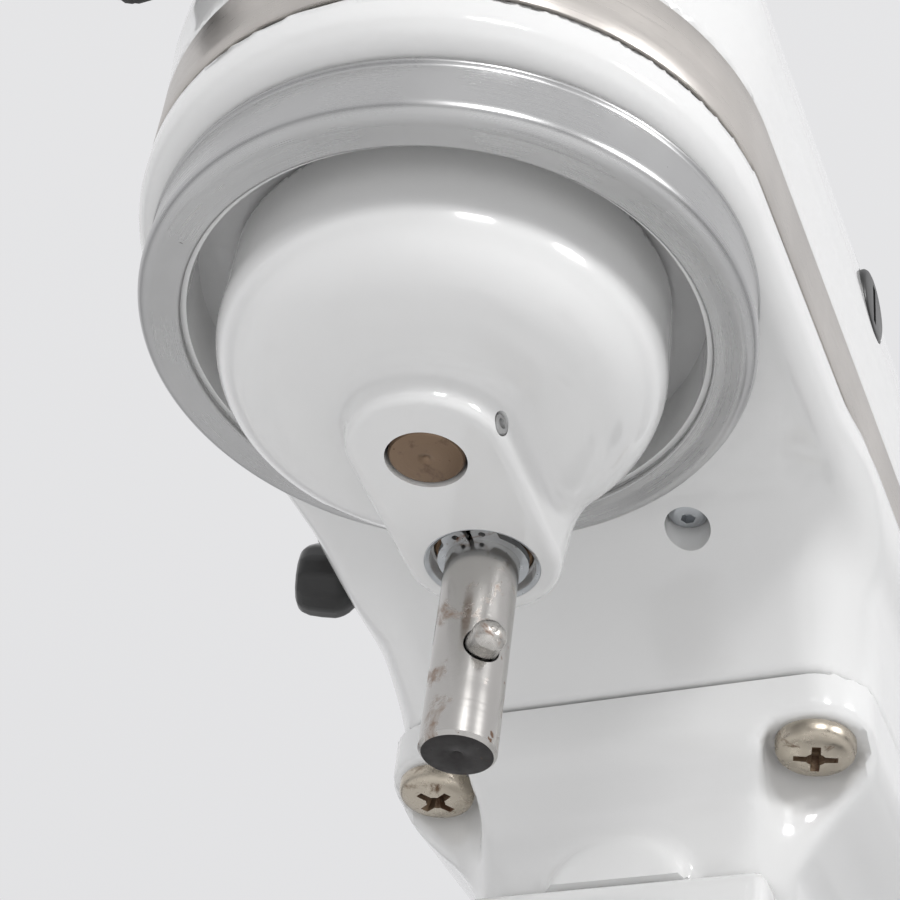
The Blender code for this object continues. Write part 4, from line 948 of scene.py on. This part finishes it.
def make_fasteners():
    turns = iter((0.30, 1, 0.2, 0.9))
    for end, y in zip(("front", "rear"), SCREW_YS):
        for side, sign in SIDES:
            name = "column_screw_%s_%s" % (end, side)
            pan_screw(name + "_head", name, sign * SCREW_X, y, next(turns))
    for side, sign in SIDES:
        socket_screw("underside_screw_%s_head" % side, "underside_screw_" + side,
                     sign * UNDERSIDE_SCREW[0], UNDERSIDE_SCREW[1])
        profile = [(0, 44.5), (6.8, 44.5), (6.8, 53.6), (7.6, 53.7), (7.6, 55.1), (7.2, 55.6), (6.6, 55.8),
                   (0, 55.8)]
        cap = lathe("brush_cap_%s_turned" % side, profile, 72, False, smooth_angle=40)
        apply_boolean(cap, box_mesh("tool", (-5, -0.9, 54.6), (5, 0.9, 60)))
        along_x(cap, 0, 0, 0)
        turned = Matrix.Rotation(0 if sign > 0 else math.pi, 4, "Z")
        transform(cap, Matrix.Translation((0, BRUSH_Y, MOTOR_Z)) @ turned)
        finish_piece(cap, "frame", "brush_cap_" + side, "black")
    profile = [(0, 47), (4.1, 47), (4.1, 53.4), (4.9, 53.5), (4.9, 54), (4.5, 54.5), (3.6, 54.7), (0, 54.8)]
    plug = along_x(lathe("blanking_plug_turned", profile, 64, False, smooth_angle=38), 0, *PLUG)
    finish_piece(plug, "frame", "blanking_plug", "black")


# ======== knobs, handle and small parts
def make_controls():
    # speed lever knob: a faceted grip with softened edges
    profile = [(0, 0.3), (4.3, 0), (5, 1), (6.6, 2.4), (7.6, 3.8), (7.95, 5.2), (8, 8), (7.85, 10.6),
               (7.2, 12.6), (5.6, 13.7), (3, 14.05), (0, 14.1)]
    knob = add_bevel(lathe("speed_knob_moulded", profile, 12, False, smooth_angle=20), 0.8, 3, 18)
    swung = Matrix.Translation((-27.5, 96.5, 0)) @ Matrix.Rotation(math.radians(22) + math.pi, 4, "Z")
    transform(along_x(knob, 31.8, 0, 24.5), swung)
    finish_piece(knob, "speed_lever", "speed_knob", "black")
    # hub knob: knurled rim, each row a radius, a height and the depth of its flutes
    rows = ((0, 12.5, 0), (5.2, 12.45, 0), (6.6, 12.1, 0), (8.4, 11.3, 0.1), (9.2, 10.4, 0.3),
            (9.6, 9, 0.4), (9.6, 2.4, 0.4), (9.2, 1.2, 0.3), (8.4, 0.3, 0.1), (8, 0, 0), (2.9, 0, 0),
            (2.9, -27, 0), (0, -27, 0))
    angles = [2 * math.pi * i / 96 for i in range(96)]
    rings = [[(-40 - h, HUB_KNOB_Y + (r + wave * math.cos(24 * a)) * math.cos(a),
               HUB_Z + (r + wave * math.cos(24 * a)) * math.sin(a)) for a in angles] for r, h, wave in rows]
    knob = sharpen(bridge("hub_knob_moulded", rings, "open", True, 1e-7), 50)
    finish_piece(knob, "hub_knob", "hub_knob", "black")
    # lift handle grip
    profile = [(0, 0.2), (7, 0), (7.8, 0.5), (8.6, 1.6), (9.4, 4), (10.4, 9), (10.95, 14), (10.9, 17.5),
               (10.2, 20.5), (8.6, 23.2), (6, 24.9), (3, 25.45), (0, 25.5)]
    knob = along_x(lathe("lift_knob_moulded", profile, 72, False, smooth_angle=45), 42.4, CRANK_Y, -68)
    finish_piece(knob, "lift_handle", "lift_knob", "black")
    # hub cover with its hinge lug
    profile = [(0, -67.5), (18.5, -67.5), (20.3, -67.42), (21.6, -67.1), (22.7, -66.5), (23.4, -65.6),
               (23.75, -64.7), (23.6, -64.35), (0, -64.3)]
    cover = along_y(lathe("hub_cover_turned", profile, 128, False, smooth_angle=50), 0, 0, HUB_Z)
    lug = box_mesh("hub_cover_lug", (-4.9, -67.2, 84), (4.9, -64.6, 91))
    add_bevel(lug, 0.4, 2)
    profile = [(0, -4.9), (2.3, -4.9), (2.6, -4.6), (2.6, 4.6), (2.3, 4.9), (0, 4.9)]
    barrel = along_x(lathe("hub_cover_barrel", profile, 40, False), 0, -66.9, 91)
    for obj, node_name in ((lug, None), (barrel, None), (cover, "hub_cover")):
        finish_piece(obj, "hub_cover", node_name, "polished")


def make_feet():
    profile = [(0, -283), (9.2, -283), (9.9, -282.85), (10.4, -282.4), (11.2, -281.6), (11.5, -280.9),
               (11.4, -280.35), (3, -280.3), (3, -271.5), (0, -271.5)]
    for end, (x, y) in FEET.items():
        for side, sign in SIDES:
            name = "foot_%s_%s" % (end, side)
            foot = lathe(name + "_moulded", profile, 64, False, (sign * x, y), 50)
            finish_piece(foot, "frame", name, "rubber")


# ======== yoke, handle and base
YOKE_PATH = ((22, 98.5), (40, 97), (60, 89), (80, 73), (96, 49), (105, 22), (108, -8))


def box_field(x, y, z, low, high, r=0.0):
    d = [np.abs(v - (a + b) / 2) - (b - a) / 2 + r for v, a, b in zip((x, y, z), low, high)]
    outside = np.sqrt(sum(np.maximum(v, 0) ** 2 for v in d))
    return outside + np.minimum(np.maximum(np.maximum(d[0], d[1]), d[2]), 0) - r


def yoke_path():
    """The arm's centre line, rounded between its points."""
    points = [np.array(p) for p in YOKE_PATH]
    for _ in range(2):
        fine = [points[0]]
        for a, b in zip(points, points[1:]):
            fine += [a * 0.75 + b * 0.25, a * 0.25 + b * 0.75]
        fine.append(points[-1])
        points = fine
    return points


def yoke_field(x, y, z):
    body = box_field(x, y, z, (-34.9, 94.1, -128), (34.9, 103.6, -60.1), 2)
    body = np.minimum(body, box_field(x, y, z, (-29, 94.1, -70), (29, 103.6, -46.9), 2))
    side = np.abs(x)
    path = yoke_path()
    arm = np.full(x.shape, 1e9)
    for a, b in zip(path, path[1:]):
        arm = np.minimum(arm, segment_distance(side, y, a[0], a[1], b[0], b[1]))
    arm = round_max(arm - 5, np.abs(z + 94) - 9.9, 2.4)
    body = soft_min(body, arm, 7)
    pad = round_max(hole(side, y, *BOWL_PIN, 10.9), np.abs(z + 94) - 9.9, 1.6)
    body = soft_min(body, pad, 3)
    flange = box_field(side, y, z, (30.6, 101, -127.9), (34.9, 113.9, -60.1), 0.4)
    tongue = box_field(side, y, z, (26.7, 109.2, -126.9), (32, 113.8, -61.1), 0.3)
    return np.minimum(np.minimum(body, flange), tongue)


def handle_field(x, y, z):
    up = z - CRANK_Z
    out = y - CRANK_Y
    arm = segment_distance(out, up, 0, 0, 0, 92) - np.interp(up, (0, 92), (8.6, 6.6))
    eye = np.sqrt(out ** 2 + up ** 2) - 10.9
    end = np.sqrt(out ** 2 + (up - 92) ** 2) - 8.4
    plate = soft_min(soft_min(arm, eye, 5), end, 5)
    body = round_max(plate, np.abs(x - 39) - 3, 1.3)
    hub = round_max(np.sqrt(out ** 2 + up ** 2) - 10.9, np.abs(x - 39) - 3.45, 0.8)
    return np.maximum(np.minimum(body, hub), 6.3 - np.sqrt(out ** 2 + up ** 2))


def base_field(x, y, z):
    """A horseshoe: two round-tipped legs joined by a broad rear."""
    side = np.abs(x)
    rear = y - 140
    bulk = ((side / 127) ** 2.5 + (np.maximum(rear, 0) / 84) ** 2.5) ** 0.4 - 1
    bulk = bulk * 90
    mouth = np.where(y < 4, 84 - side, 84 - np.sqrt(side ** 2 + (y - 4) ** 2))
    toe_x, toe_y = FEET["front"]
    tip = np.sqrt((side - toe_x) ** 2 + np.minimum(y - toe_y, 0) ** 2) - 21.5
    plan = np.where(y < 4, tip, np.maximum(bulk, mouth))
    body = round_max(plan, z + 253.3, 7.5)
    body = round_max(body, -280 - z, 1.2)
    inner = np.maximum(np.maximum(side - 78, np.abs(y - 150) - 53), z + 262)
    return np.maximum(body, -inner)


def make_frame_parts():
    yoke = surface("yoke_casting", yoke_field, (-121, -21, -130), (121, 116, -45), 1.5)
    holes = [rod_tool(2.8, -98, -80, (side * BOWL_PIN[0], BOWL_PIN[1]), 32) for side in (-1, 1)]
    apply_boolean(yoke, joined("tools", holes))
    finish_piece(sharpen(yoke, 48), "yoke", "yoke")
    handle = surface("lift_handle_arm", handle_field, (34, 111, -173), (44, 137, -57), 0.9)
    finish_piece(handle, "lift_handle", "lift_handle", "aluminium")
    base = surface("base_casting", base_field, (-129, -108, -282), (129, 226, -251), 1.9)
    holes = [rod_tool(3.3, -285, -270, (side * px, py), 24) for side in (-1, 1) for px, py in FEET.values()]
    apply_boolean(base, joined("tools", holes))
    finish_piece(sharpen(base, 48), "frame", "base")
    for side, sign in SIDES:
        profile = [(0, -98), (2.5, -97.7), (2.5, -83.7), (4.5, -83.6), (4.5, -76.4), (4.2, -75.4),
                   (3.6, -74.3), (2.6, -73.4), (1.4, -73), (0, -72.9)]
        pin = lathe("bowl_pin_%s_turned" % side, profile, 48, False, (sign * BOWL_PIN[0], BOWL_PIN[1]), 40)
        finish_piece(pin, "yoke", "bowl_pin_" + side, "steel")


# ======== looks of the carried-over nodes
NODE_LOOKS = {
    "aluminium": "gear_bracket rear_bracket",
    "steel": "hub_cover_pin lift_shaft speed_lever bowl_clip ring_gear planet_pinion centre_gear hub_pinion "
             "worm_pinion armature_shaft front_bearing rear_bearing",
    "nickel": "rear_cover_screw",
    "brass": "worm_gear governor",
    "bronze": "centre_bush hub_bush",
    "copper": "commutator",
    "laminations": "armature_core stator",
    "carbon": "brush_right brush_left",
    "rubber": "cord_gland",
}


def paint_nodes():
    for key, names in NODE_LOOKS.items():
        for name in names.split():
            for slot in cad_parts[name].material_slots:
                slot.material = MAT[key]


# ======== stage, lights and camera
CAMERA_AT = (121.15, -218.94, -230.80)
CAMERA_RIGHT = (0.91760, 0.38016, 0.11613)
CAMERA_UP = (0.16620, -0.63230, 0.75669)
CAMERA_FORWARD = (-0.36109, 0.67504, 0.64338)


def make_stage():
    scene = bpy.context.scene
    half = 3000.0
    corners = [(x, y - AXIS_Y, -RING_Z) for x, y in ((-half, -half), (half, -half), (half, half),
                                                     (-half, half))]
    floor = new_object("floor", corners, [(0, 1, 2, 3)], False)
    made, tree, shader = material("pale_floor", 0.0, 0.6)
    link(tree, ramp(tree, noise(tree, coords(tree), 1.5), [(0.3, grey(0.78)), (0.7, grey(0.80))]),
         shader.inputs["Base Color"])
    floor.data.materials.append(made)

    world = bpy.data.worlds.new("studio")
    scene.world = world
    world.use_nodes = True
    background = world.node_tree.nodes["Background"]
    tree = world.node_tree
    split = tree.nodes.new("ShaderNodeSeparateXYZ")
    link(tree, tree.nodes.new("ShaderNodeTexCoord").outputs["Generated"], split.inputs["Vector"])
    height = math_node(tree, "MULTIPLY", math_node(tree, "ADD", split.outputs["Z"], 1.0), 0.5)
    sky = ramp(tree, height, [(0.0, (0.86, 0.86, 0.86)), (0.47, (0.70, 0.70, 0.70)),
                              (0.505, (0.30, 0.30, 0.31)), (0.56, (0.40, 0.40, 0.41)),
                              (0.64, (0.755, 0.755, 0.768)), (1.0, (0.80, 0.80, 0.81))])
    link(tree, sky, background.inputs["Color"])
    background.inputs["Strength"].default_value = 1.0
    lights = (
        # name, position, aim, size, power
        ("key_light_near", (0.63, -1.04, 0.70), (0.0, -0.05, 0.28), 0.30, 4.5),
        ("key_light_far", (1.14, -0.32, 0.68), (0.0, -0.05, 0.28), 0.30, 4.5),
        ("left_light", (-1.10, -0.55, 0.55), (0.0, 0.0, 0.28), 0.6, 2.0),
    )
    for name, spot, aim, size, power in lights:
        data = bpy.data.lights.new(name, "AREA")
        data.shape = "RECTANGLE"
        data.size = size
        data.size_y = size * 0.5
        data.energy = power
        lamp = bpy.data.objects.new(name, data)
        lamp.location = spot
        lamp.rotation_euler = (Vector(aim) - Vector(spot)).to_track_quat("-Z", "Y").to_euler()
        lamp.visible_glossy = name != "left_light"
        scene.collection.objects.link(lamp)

    data = bpy.data.cameras.new("camera")
    data.sensor_width = 36.0
    data.lens = 81.77
    data.clip_start = 0.01
    camera = bpy.data.objects.new("camera", data)
    right, up, forward = (Vector(v) for v in (CAMERA_RIGHT, CAMERA_UP, CAMERA_FORWARD))
    turn = Matrix((right, up, -forward)).transposed()
    camera.matrix_world = Matrix.Translation(place(*CAMERA_AT)) @ turn.to_4x4()
    scene.collection.objects.link(camera)
    scene.camera = camera
    scene.view_settings.view_transform = "Standard"
    scene.view_settings.look = "None"


make_materials()
make_stage()
make_planetary()
make_beater_shaft()
make_drip_ring()
make_head()
make_column()
make_fasteners()
make_controls()
make_feet()
make_frame_parts()
paint_nodes()
